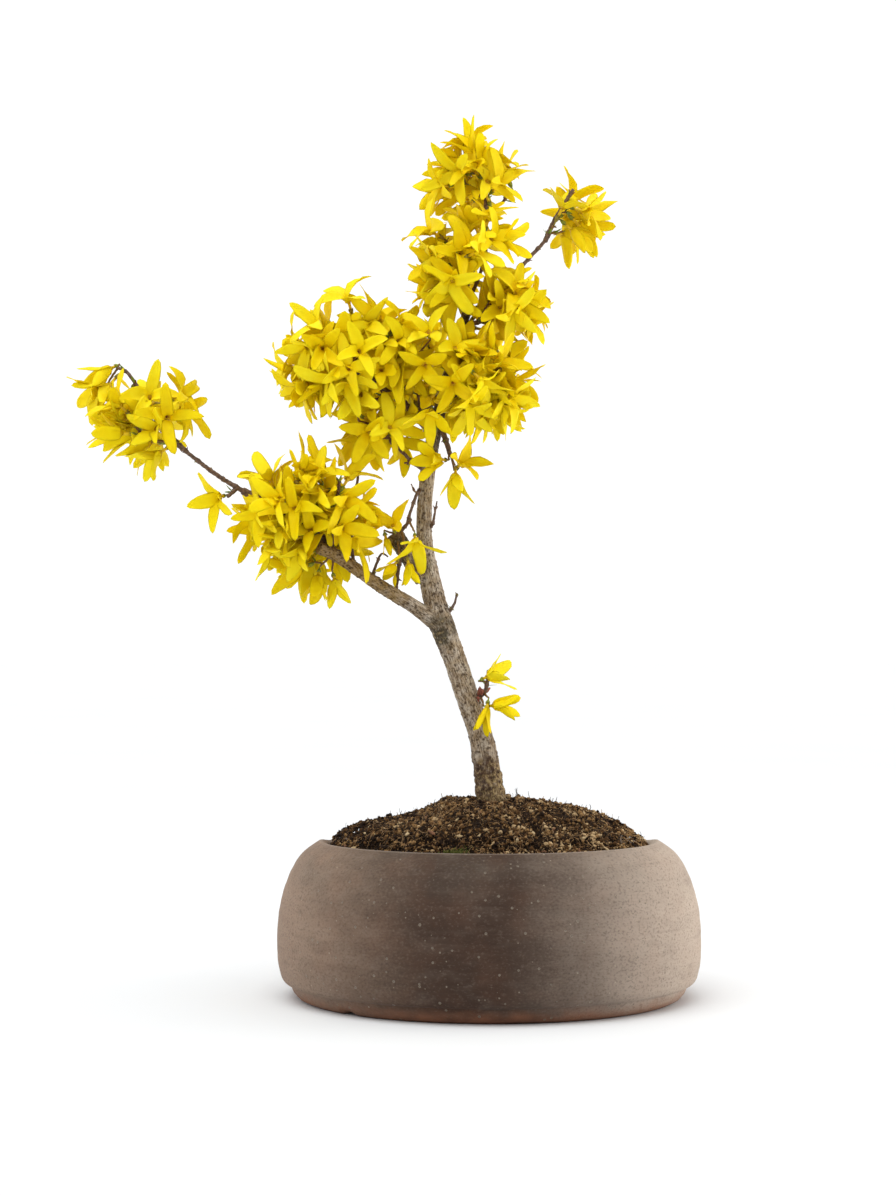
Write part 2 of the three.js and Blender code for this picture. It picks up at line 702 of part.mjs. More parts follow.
/** Grow one mass and join it, leaving out what would touch a limb or another mass. */
function blossomSolid(name, mass, grown) {
  const near = stretches.filter((limb) => {
    const centre = vec(mass.centre);
    const distance = Math.min(limb.from.distanceTo(centre), limb.to.distanceTo(centre));
    return distance < Math.max(...mass.reach) + CLEAR.limbsNear;
  });
  const dice = new Dice(mass.seeds[0]);
  const axes = growTwigs(mass, dice, near);
  const places = budPlaces(axes, dice);
  const others = Object.values(grown).flatMap((other) => other.flowers);
  const flowers = growFlowers(mass, places, near, others);
  const taken = Object.values(grown).map((other) => other.solid);
  for (const [other, stem] of Object.entries(stemRoom)) {
    if (other !== name && !(other in grown)) taken.push(stem);
  }
  const free = (solid) => !meets(solid, limbsWithRoom) && !taken.some((other) => meets(solid, other));
  const clear = (axis) => !taken.some((other) => meets(twigSolid(axis, GAP), other));
  const kept = axes.filter((axis, i) => i === 0 || clear(axis));
  let joined = wasm.Manifold.union(kept.map((axis) => twigSolid(axis)));
  const outermost = flowers.filter((flower) => kept.includes(flower.axis));
  outermost.sort((a, b) => spaceShare(mass, b.throat) - spaceShare(mass, a.throat));
  for (const flower of outermost) {
    const petals = Array.from({ length: PETALS }, (_, k) => k).filter((k) =>
      free(petalSolid(flower, k, GAP / 2)) && !meets(petalSolid(flower, k, 0), joined));
    if (petals.length >= FLOWER.leastPetals && free(flowerSolid(flower, [], GAP / 2))) {
      joined = joined.add(flowerSolid(flower, petals));
    }
  }
  return { flowers, solid: biggestPiece(joined.subtract(limbsWithRoom)) };
}

// Pot and soil

/** The pot's outline from the middle of its underside, out, up, over the lip and back to the middle. */
function potOutline() {
  const { footRadius, bandRadius, bandHeight, bandEase, lipInner, lipCrown, lipRound, floor } = POT;
  const [lipRadius, lipHeight] = POT.wall[POT.wall.length - 1];
  return [
    [0, 0],
    [footRadius, 0],
    [bandRadius - bandEase, bandHeight * 0.7],
    [bandRadius, bandHeight + 1],
    ...POT.wall,
    [(lipRadius + lipInner) / 2 + lipRound, lipHeight + lipCrown],
    [lipInner + lipRound, lipHeight + lipCrown / 2],
    ...POT.inside,
    [0, floor],
  ];
}

/** Turn an outline of [radius, height] points round the pot's axis. */
function turned(outline, sides) {
  const points = outline.map(([radius, height]) => new THREE.Vector2(radius, height));
  const geometry = new THREE.LatheGeometry(points, sides);
  geometry.rotateX(Math.PI / 2);
  geometry.deleteAttribute("normal");
  geometry.deleteAttribute("uv");
  return mergeVertices(geometry, 1e-4);
}

function soilHeight(radius, edge) {
  const { edgeHeight, moundRise, moundPower, seatHeight, seatRadius, seatBlend } = SOIL;
  const mound = edgeHeight + moundRise * (1 - (radius / edge) ** moundPower);
  const share = Math.min(Math.max((radius - seatRadius) / (seatBlend - seatRadius), 0), 1);
  return seatHeight + (mound - seatHeight) * share;
}

/** The pot's inner wall and floor, moved into the soil by a gap. */
function innerWallWithGap(gap) {
  const line = [...POT.inside, [0, POT.floor]];
  return line.slice(1, -1).map(([radius, height], i) => {
    const [before, after] = [line[i], line[i + 2]];
    const heading = new THREE.Vector2(after[0] - before[0], after[1] - before[1]).normalize();
    return [radius + heading.y * gap, height - heading.x * gap];
  });
}

/** The soil's outline: up the pot's inner wall, and over the mound from its edge to the seat. */
function soilOutline() {
  const edge = POT.lipInner - GAP;
  const mound = SOIL.rings.map((radius) => [radius, soilHeight(radius, edge)]);
  return [
    [0, POT.floor + GAP],
    ...innerWallWithGap(SOIL.wallGap).reverse(),
    [edge, SOIL.edgeHeight],
    ...mound.reverse(),
    [0, SOIL.seatHeight],
  ];
}

// The plant and its pot

const plant = new THREE.Group();

function add(name, geometry, finish) {
  const mesh = new THREE.Mesh(geometry, new THREE.MeshStandardMaterial({ ...finish, metalness: 0 }));
  mesh.name = name;
  plant.add(mesh);
}

add("pot", turned(potOutline(), POT.sides), COLOURS.stoneware);
add("soil", turned(soilOutline(), SOIL.sides), COLOURS.soil);

const trunkRoom = limbRoom[0];
for (const [name, limb] of Object.entries(LIMBS)) {
  const solid = limbSolid(limb);
  const cut = name === "trunk" ? solid : biggestPiece(solid.subtract(trunkRoom));
  add(name, geometryOf(cut), limb.sides > 8 ? COLOURS.bark : COLOURS.twig);
}

const grown = {};
for (const [name, mass] of Object.entries(MASSES)) {
  grown[name] = blossomSolid(name, mass, grown);
  add(`${name}_blossom`, geometryOf(grown[name].solid), COLOURS.blossom);
}

export default plant;
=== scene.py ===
"""The finish of a forsythia bonsai in full flower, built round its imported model.

Sizes are in millimetres, and MM turns them to metres where a mesh is made. +Z is up and -Y is the front.
ROOT_DEPTH is how far a stem or a bare branch starts inside what carries it.
"""

import json
import logging
import math
from dataclasses import dataclass, field
from enum import Enum
from typing import Callable

import bpy
import numpy as np
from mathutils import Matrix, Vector, noise
from mathutils.bvhtree import BVHTree

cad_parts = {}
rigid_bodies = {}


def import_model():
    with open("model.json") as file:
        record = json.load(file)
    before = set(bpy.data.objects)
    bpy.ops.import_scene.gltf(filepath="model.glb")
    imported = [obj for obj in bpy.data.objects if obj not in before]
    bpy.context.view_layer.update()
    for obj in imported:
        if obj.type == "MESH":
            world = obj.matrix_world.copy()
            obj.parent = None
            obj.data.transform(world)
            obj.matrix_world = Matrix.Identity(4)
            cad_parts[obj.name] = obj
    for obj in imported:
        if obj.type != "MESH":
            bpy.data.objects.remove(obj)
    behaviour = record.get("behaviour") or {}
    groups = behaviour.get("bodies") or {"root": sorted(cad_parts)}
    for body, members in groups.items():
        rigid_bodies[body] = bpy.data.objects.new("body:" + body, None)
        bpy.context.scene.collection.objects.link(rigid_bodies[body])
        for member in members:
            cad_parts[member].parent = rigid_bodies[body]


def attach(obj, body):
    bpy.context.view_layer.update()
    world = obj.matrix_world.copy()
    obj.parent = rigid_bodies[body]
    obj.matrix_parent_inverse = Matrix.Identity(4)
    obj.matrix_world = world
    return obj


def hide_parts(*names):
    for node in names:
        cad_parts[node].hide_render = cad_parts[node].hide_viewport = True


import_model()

Array = np.ndarray
Shape = bpy.types.Object
Finish = bpy.types.Material
Socket = bpy.types.NodeSocket
Tree = bpy.types.NodeTree

MM = 0.001
ROOT_DEPTH = 1.3
BODY = "root"
log = logging.getLogger("forsythia")


class Slot(Enum):
    """The record's material slots."""

    STONEWARE = "stoneware"
    SOIL = "soil"
    BARK = "bark"
    TWIG = "twig"
    BLOSSOM = "blossom"


class Region(Enum):
    """The parts of the crown whose petals are joined in one piece."""

    LEFT = "left"
    MIDDLE = "middle"
    TOP = "top"


# The plant's plan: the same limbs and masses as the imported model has


@dataclass(frozen=True)
class LimbPlan:
    """One limb: the points of its route, and its radius at each of them."""

    route: tuple
    radius: tuple


@dataclass(frozen=True)
class MassPlan:
    """One mass of blossom, which grows along its stem inside an ellipsoid of space.

    girth is the stem's radius at its root and tip, finer the most flowers that the finer twigs add. Where
    bare_front is set, no flower hides the stem.
    """

    region: Region
    stem: tuple
    girth: tuple
    twigs: int
    length: tuple
    centre: tuple
    reach: tuple
    flowers: int
    pairs: float
    droop: float
    open: float
    seeds: tuple
    finer: int
    bare_front: bool = False


@dataclass(frozen=True)
class SetFlower:
    """A flower set one by one, as the photograph shows it.

    It has its throat, its heading, the way that one of its petals points, its spread and its petals' length.
    """

    throat: tuple
    heading: tuple
    toward: tuple
    spread: float
    petal: float


# The flowers that show one by one. The masses named first hold no others
ALONE = ("spur", "low_right", "fork", "trunk_shoot")
SET_FLOWERS = {
    "spur": (SetFlower((-131.7, -17, 245.8), (-0.5, -0.72, -0.25), (-0.12, 0, -1), 1.0, 18),),
    "low_right": (
        SetFlower((-23.5, -11, 264.6), (-0.75, -0.65, 0), (0, 0, 1), 0.5, 15.5),
        SetFlower((-14.5, -10, 262), (0.5, -0.6, 0.45), (0, 0.3, 1), 0.9, 16.5),
        SetFlower((-16.5, -11, 257.5), (0.05, -0.4, -0.9), (-0.9, -0.3, 0), 0.6, 16.5)),
    "fork": (
        SetFlower((-47.7, -8, 231.5), (-0.3, -0.65, 0.62), (0.55, 0, 0.85), 1.0, 14.5),
        SetFlower((-36.5, -13, 225.2), (0.05, -0.55, -0.75), (0.93, 0, 0.37), 1.05, 19),
        SetFlower((-39.8, -9, 213), (0.15, 0.1, -0.98), (-0.5, -0.8, 0), 0.45, 10.5),
        SetFlower((-47, -9, 212.5), (-0.6, -0.2, -0.75), (0, -1, 0), 0.6, 10),
        SetFlower((-50.8, -6, 225.5), (0.25, -0.3, -0.9), (1, 0, 0), 0.2, 8.5)),
    "trunk_shoot": (
        SetFlower((-1, -7, 157.6), (0.9, -0.15, 0.42), (0, -0.4, 1), 0.66, 15),
        SetFlower((2, -8, 143.4), (0.98, -0.2, 0.05), (0, -1, 0.8), 0.42, 14),
        SetFlower((-1.2, -9.5, 142.5), (-0.2, -0.25, -0.95), (1, -0.8, 0), 0.3, 13.5)),
    "middle_left": (
        SetFlower((-31.5, -22, 310), (-0.1, -0.85, -0.35), (0.6, 0, -0.8), 1.05, 17),
        SetFlower((-30, -20, 326), (-0.2, -0.75, 0.5), (-0.7, 0, 0.7), 1.0, 16),
        SetFlower((-28.5, -20, 287), (-0.1, -0.65, -0.7), (0.9, 0, -0.2), 0.9, 17)),
    "middle_right": (
        SetFlower((-18, -24, 301), (0.1, -0.9, -0.3), (0.5, 0, 0.85), 1.1, 17.5),
        SetFlower((-17, -20, 318), (0.25, -0.8, 0.4), (0.9, 0, 0.3), 0.9, 16)),
    "left": (
        SetFlower((-84, -15, 207), (-0.15, -0.3, -0.95), (1, 0, 0), 0.5, 14.5),
        SetFlower((-76, -14, 205), (0.25, -0.25, -0.95), (0.7, -0.7, 0), 0.5, 13)),
    "far_left": (
        SetFlower((-186.5, -10, 309.8), (-0.75, -0.35, -0.45), (0, 0, 1), 0.5, 17),
        SetFlower((-193, -11, 299), (-0.7, -0.5, -0.35), (0, 0, 1), 0.85, 16)),
}

LIMBS = {
    "trunk": LimbPlan(
        ((1.6, 0, 93.7), (-3.4, -0.5, 125.6), (-10.3, -1, 146.5), (-16.8, -1, 165.8), (-22.7, 0, 181.7),
         (-28.2, 1, 200.6), (-32.2, 2, 229.4), (-29.7, 0, 264.1), (-20.8, 2, 304.9), (-8.8, 0, 346.1)),
        (7.4, 5.9, 5.5, 5.5, 6.1, 5.4, 3.7, 3.6, 2.8, 1.9)),
    "left_bough": LimbPlan(
        ((-23.7, -0.5, 182.2), (-37.4, -5, 192.6), (-54, -8.5, 202.6), (-73.9, -12, 216.5),
         (-83.8, -17, 220.9)),
        (4.4, 3.5, 3.2, 3, 2.9)),
    "cut_stub": LimbPlan(((-32.2, 1, 205.6), (-38.1, 1, 214.5), (-47.1, 1, 228.9)), (4.6, 4.4, 4)),
    "left_branch": LimbPlan(
        ((-122.3, -13, 249.7), (-131.5, -14, 255.2), (-139.9, -14.5, 261.2), (-150.3, -15, 269.4)),
        (1.9, 1.75, 1.6, 1.5)),
    "top_branch": LimbPlan(
        ((-9.8, 0, 345.1), (-4.4, 2, 358), (-1.4, 3, 368.4), (-1.9, 4, 376.3)), (1.5, 1.4, 1.3, 1.2)),
    "right_branch": LimbPlan(
        ((-13.3, 2, 335.6), (5.6, 10, 351.5), (15.5, 12, 362.4), (28.9, 14, 377.3)), (1.9, 1.7, 1.6, 1.4)),
    "inner_twig": LimbPlan(
        ((-30.2, 0, 259.2), (-37.6, -3, 263.6), (-43.3, -5, 269.3), (-48.1, -6, 273.6)),
        (1.6, 1.4, 1.3, 1.2)),
    "back_bough": LimbPlan(((-24.2, 1, 290.9), (-22.2, 12, 298.9), (-21.3, 24, 304.9)), (2.2, 1.9, 1.7)),
}
HEAVY_LIMBS = ("trunk", "left_bough", "cut_stub")

MASSES = {
    "spur": MassPlan(
        Region.LEFT, ((-124.5, -14, 249.7), (-126.5, -16, 247.8), (-128.5, -17, 245.8)),
        (1, 0.8), 0, (8, 8), (-139.4, -18, 241.3), (17.9, 26, 17.9), 1, 0, 0.2, 1, (248, 203), 1),
    "inner_left": MassPlan(
        Region.MIDDLE, ((-48.6, -6.2, 274.1), (-54, -7, 279), (-61.5, -8, 283)),
        (1.1, 0.8), 4, (10, 22), (-52.5, -4, 280), (31.8, 36, 23.8), 8, 0.3, 0.5, 0.55, (316, 221), 9),
    "low_right": MassPlan(
        Region.MIDDLE, ((-25.2, -2, 285), (-22.2, -6, 277), (-19.3, -8, 267.6)),
        (1.6, 1.2), 1, (6, 10), (-16.8, -9, 262.2), (22.8, 30, 22.8), 4, 0.6, 0.4, 0.55, (392, 76), 4),
    "fork": MassPlan(
        Region.LEFT, ((-45.1, 0, 228.4), (-42.1, -4, 231.4), (-38.6, -8, 235.3)),
        (1.1, 0.8), 2, (8, 14), (-42.6, -9, 222.9), (25.8, 32, 26.8), 5, 0.3, 0.4, 0.55, (45, 107), 3),
    "trunk_shoot": MassPlan(
        Region.LEFT, ((-6.9, -2, 146.5), (-2.4, -4, 149.4), (-0.9, -5, 154.9), (-0.4, -5, 160.9)),
        (1.2, 0.8), 2, (5, 8), (5.6, -7, 149.9), (20.9, 30, 32.8), 4, 0.6, 0.15, 0, (412, 152), 0),
    "upper_right": MassPlan(
        Region.TOP, ((-14.8, 0, 330.7), (-5.4, -4, 333.6), (3.6, -7, 338.6), (10.5, -9, 342.6)),
        (1.4, 0.9), 6, (10, 22), (8, -4, 342.1), (24.8, 34, 27.8), 12, 0.3, 0.3, 0.55, (412, 85), 8),
    "left": MassPlan(
        Region.LEFT,
        ((-76.9, -12, 219), (-85.8, -11, 228.9), (-94.7, -11, 236.3), (-108.6, -12, 242.8),
         (-121.5, -13, 249.2)),
        (2.4, 1.9), 14, (16, 36), (-86.8, -11, 235.3), (42.7, 46, 50.6), 42, 0.3, 0.25, 0.55, (72, 72), 28),
    "middle_left": MassPlan(
        Region.MIDDLE,
        ((-28.7, 0, 279), (-38.1, -5, 289), (-51.5, -8, 299.9), (-67.9, -10, 312.3), (-82.8, -12, 319.7)),
        (2.2, 1.2), 13, (16, 34), (-67.9, -9, 314.8), (41.7, 46, 39.7), 38, 0.3, 0.25, 0.55, (84, 256), 38),
    "middle_right": MassPlan(
        Region.MIDDLE, ((-21.3, 0, 293.9), (-13.3, -4, 298.9), (-3.4, -7, 302.9), (5.6, -9, 305.8)),
        (2, 1.2), 9, (12, 30), (-3.4, -7, 302.9), (30.8, 44, 32.8), 25, 0.3, 0.3, 0.55, (90, 138), 28),
    "upper": MassPlan(
        Region.TOP, ((-11.3, -1, 340.6), (-15.3, -5, 348.5), (-17.3, -8, 357), (-14.3, -9, 366.9)),
        (1.4, 0.9), 9, (12, 32), (-9.3, -5, 363.4), (36.7, 38, 37.7), 20, 0.3, 0.3, 0.55, (82, 415), 8),
    "top": MassPlan(
        Region.TOP, ((-1.9, 4, 376.8), (-2.4, 4, 386.8), (-0.9, 3, 398.2), (-4.4, 2, 411.6)),
        (1.15, 0.8), 7, (10, 24), (-6.4, 3, 404.2), (30.8, 36, 35.7), 17, 0.4, 0.2, 0.55, (160, 52), 6),
    "far_left": MassPlan(
        Region.LEFT,
        ((-150.8, -15.2, 269.8), (-160.8, -15, 281), (-167.7, -14, 292.4), (-173.7, -12, 300.9),
         (-178.6, -10, 307.8), (-183.6, -9, 310.3)),
        (1.4, 0.8), 7, (10, 24), (-174.2, -12, 285), (41.7, 38, 36.7), 24, 0.5, 0.4, 0.4, (374, 374), 4),
    "top_right": MassPlan(
        Region.TOP, ((29.1, 14, 377.8), (32.9, 14, 386.3), (37.8, 13, 394.7), (42.8, 12, 402.7)),
        (1.35, 0.9), 4, (7, 14), (44.8, 13, 387.3), (24.8, 32, 29.8), 11, 0.5, 0.4, 0.55, (304, 304), 3,
        True),
    "rear": MassPlan(
        Region.MIDDLE, ((-21.3, 24.4, 305.1), (-24.2, 36, 310.8), (-31.7, 46, 315.8), (-40.1, 52, 318.8)),
        (1.6, 1), 8, (14, 26), (-29.2, 50, 311.8), (35.7, 38, 32.8), 20, 0.3, 0.3, 0.55, (477, 320), 12),
}


# Lines


def smooth(points: tuple, steps: int) -> Array:
    """Draw a smooth line through points.

    Args:
        points: The main points.
        steps: How many steps lead from each main point to the next.

    Returns:
        The line's points, one a row.
    """
    main = np.array(points, float)
    last = len(main) - 1
    line = []
    for i in range(last):
        p0, p1, p2, p3 = main[max(i - 1, 0)], main[i], main[i + 1], main[min(i + 2, last)]
        for k in range(steps):
            t = k / steps
            line.append(0.5 * (2 * p1 + (p2 - p0) * t + (2 * p0 - 5 * p1 + 4 * p2 - p3) * t * t
                               + (3 * p1 - p0 - 3 * p2 + p3) * t * t * t))
    line.append(main[last])
    return np.array(line)


def spread_over(values: tuple, steps: int) -> Array:
    """Spread values given at a line's main points over its steps."""
    return np.interp(np.arange((len(values) - 1) * steps + 1) / steps, range(len(values)), values)


def length_of(line: Array) -> float:
    """Return the length of a line."""
    return float(np.linalg.norm(np.diff(line, axis=0), axis=1).sum())


def point_at(line: Array, distance: float) -> tuple[Array, Array]:
    """Find a point along a line.

    Args:
        line: The line's points.
        distance: How far along it the point lies.

    Returns:
        The point, and the line's direction there.
    """
    left = distance
    for i in range(1, len(line)):
        leg = line[i] - line[i - 1]
        step = float(np.linalg.norm(leg))
        if left <= step or i == len(line) - 1:
            return line[i - 1] + leg * min(max(left / step, 0), 1), leg / step
        left -= step
    raise ValueError("a line needs two points")


def cut(line: Array, length: float) -> Array:
    """Cut a line off at a distance from its start."""
    reach = np.concatenate([[0], np.cumsum(np.linalg.norm(np.diff(line, axis=0), axis=1))])
    return np.vstack([line[reach < length - 0.01], point_at(line, length)[0]])


def root_back(line: Array) -> Array:
    """Start a line a little further back, inside what carries it."""
    return np.vstack([line[0] - unit(line[1] - line[0]) * ROOT_DEPTH, line])


def unit(vector: Array) -> Array:
    """Return vectors of length one with the same directions."""
    return vector / np.linalg.norm(vector, axis=-1, keepdims=True)


def frame_of(direction: Array) -> tuple[Array, Array]:
    """Return two directions square to a direction and to each other."""
    reference = np.array([0.0, 1, 0]) if abs(direction[1]) < 0.9 else np.array([1.0, 0, 0])
    u = unit(np.cross(direction, reference))
    return u, np.cross(direction, u)


def way_out(direction: Array, angle: float) -> Array:
    """Return the way out from an axis at an angle round it."""
    u, v = frame_of(direction)
    return u * math.cos(angle) + v * math.sin(angle)


def branch_off(direction: Array, angle: float, pitch: float) -> Array:
    """Return the heading that leaves an axis at an angle round it, and rises by pitch towards its end."""
    return way_out(direction, angle) * math.cos(pitch) + direction * math.sin(pitch)


def stretch_distance(p1: Array, q1: Array, p2: Array, q2: Array) -> Array:
    """Measure how near straight stretches p1 to q1 and p2 to q2 come to each other."""
    d1, d2, r = q1 - p1, q2 - p2, p1 - p2
    a, e, b = (d1 * d1).sum(-1), (d2 * d2).sum(-1), (d1 * d2).sum(-1)
    c, f = (d1 * r).sum(-1), (d2 * r).sum(-1)
    slant = a * e - b * b
    level = slant > 1e-9
    s = np.where(level, np.clip((b * f - c * e) / np.where(level, slant, 1), 0, 1), 0)
    t = (b * s + f) / e
    s = np.where(t < 0, np.clip(-c / a, 0, 1), np.where(t > 1, np.clip((b - c) / a, 0, 1), s))
    t = np.clip(t, 0, 1)
    return np.linalg.norm(p1 + d1 * s[..., None] - p2 - d2 * t[..., None], axis=-1)


# Growth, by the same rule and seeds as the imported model, and then on to finer twigs


class Dice:
    """Seeded numbers: the same seed always grows the same plant."""

    def __init__(self, seed: int) -> None:
        """Start from a seed."""
        self.state = (seed * 0x9E3779B1) & 0xFFFFFFFF
        for _ in range(3):
            self.next()

    def next(self) -> float:
        """Return the next number, from 0 to 1."""
        self.state = (1664525 * self.state + 1013904223) & 0xFFFFFFFF
        return self.state / 4294967296

    def span(self, ends: tuple) -> float:
        """Return the next number, between two ends."""
        return ends[0] + (ends[1] - ends[0]) * self.next()


@dataclass
class Axis:
    """A stem or a twig: its line, its radius at root and tip, its first bud, and how far flowers stand off.

    A finer twig also has its parent, and how far along that it roots.
    """

    line: Array
    girth: tuple
    first: float
    reach: float
    parent: "Axis | None" = None
    rooted: float = 0
    buds: list = field(default_factory=list)


@dataclass
class BudPlace:
    """A place for flowers along an axis. The one at a tip has no angle."""

    axis: Axis
    distance: float
    angle: float | None


@dataclass
class Flower:
    """One flower: where it roots, where its petals spread, how far they open and how long they are."""

    axis: Axis
    distance: float
    root: Array
    direction: Array
    throat: Array
    roll: float
    spread: float
    petal: float

    def headings(self) -> Array:
        """Return the heading of each petal."""
        u, v = frame_of(self.direction)
        angles = self.roll + np.arange(4)[:, None] * math.pi / 2
        out = np.cos(angles) * u + np.sin(angles) * v
        return self.direction * math.cos(self.spread) + out * math.sin(self.spread)


@dataclass
class Mass:
    """What has grown in one mass."""

    plan: MassPlan
    axes: list[Axis]
    flowers: list[Flower]


@dataclass(frozen=True)
class TwigRule:
    """How twigs branch off a stem. Angles are in radians, and a pair is a range that is drawn from."""

    stem_steps: int = 2
    place: tuple = (0.3, 0.9)
    sway: tuple = (-0.5, 0.5)
    pitch: tuple = (0.3, 0.85)
    rise: float = 0.15
    tip: float = 0.6
    taper: float = 0.85
    shrinks: tuple = (1, 0.7, 0.45)
    clearance: float = 1.6
    reach: float = 0.9
    golden: float = 2.399963
    full_turn: float = 6.283
    half_turn: tuple = (0, 3.14)
    first_on_stem: float = 4
    first_on_twig: float = 4.5
    node_gap: tuple = (6.5, 9)
    node_turn: tuple = (-0.3, 0.3)
    mass_seed: int = 7919
    bud_seed: int = 104729


@dataclass(frozen=True)
class FlowerRule:
    """How flowers stand on their buds.

    What starts with set is for a flower given one by one. Its twig roots at the nearest of the stem's points,
    which lie set_step apart, and bows by set_bow. facing is how far a flower may turn to the front of a bare
    stem.
    """

    stalk: tuple = (7.5, 9.5)
    petal: tuple = (16, 20.5)
    wide: tuple = (0.95, 1.35)
    half: tuple = (0.5, 0.95)
    tries: int = 5
    apart: float = 5.6
    lift: tuple = (0.1, 1)
    tip_lift: float = 1.4
    sway: tuple = (-0.6, 0.6)
    twin_sway: float = 0.9
    nod: tuple = (0.4, 1.6)
    roll: tuple = (0, 1.5708)
    outward: float = 0.5
    set_stalk: float = 5
    set_girth: tuple = (0.65, 0.45)
    set_step: float = 0.5
    set_bow: float = 0.5
    facing: float = -0.3


@dataclass(frozen=True)
class Clearance:
    """How near two flowers, or a flower and a limb, may come."""

    petal: float = 1.9
    petal_from: float = 1
    stalk: float = 0.9
    stalk_from: float = 3
    stalk_to_limb: float = 1.4
    limb: float = 0.3
    masses: float = 0.2
    near: float = 40
    limbs_near: float = 35


@dataclass(frozen=True)
class FinerRule:
    """How side twigs carry the growth on: how far apart they root, their length and their radius.

    Each roots at a share, offset, of its gap. first is how far along a twig its first bud is, and apart how
    near two throats may come.
    """

    gap: float = 6
    offset: float = 0.6
    least: int = 2
    length: tuple = (6, 13)
    girth: tuple = (0.5, 0.38)
    first: float = 3.5
    apart: float = 5.4
    seed: int = 15485863


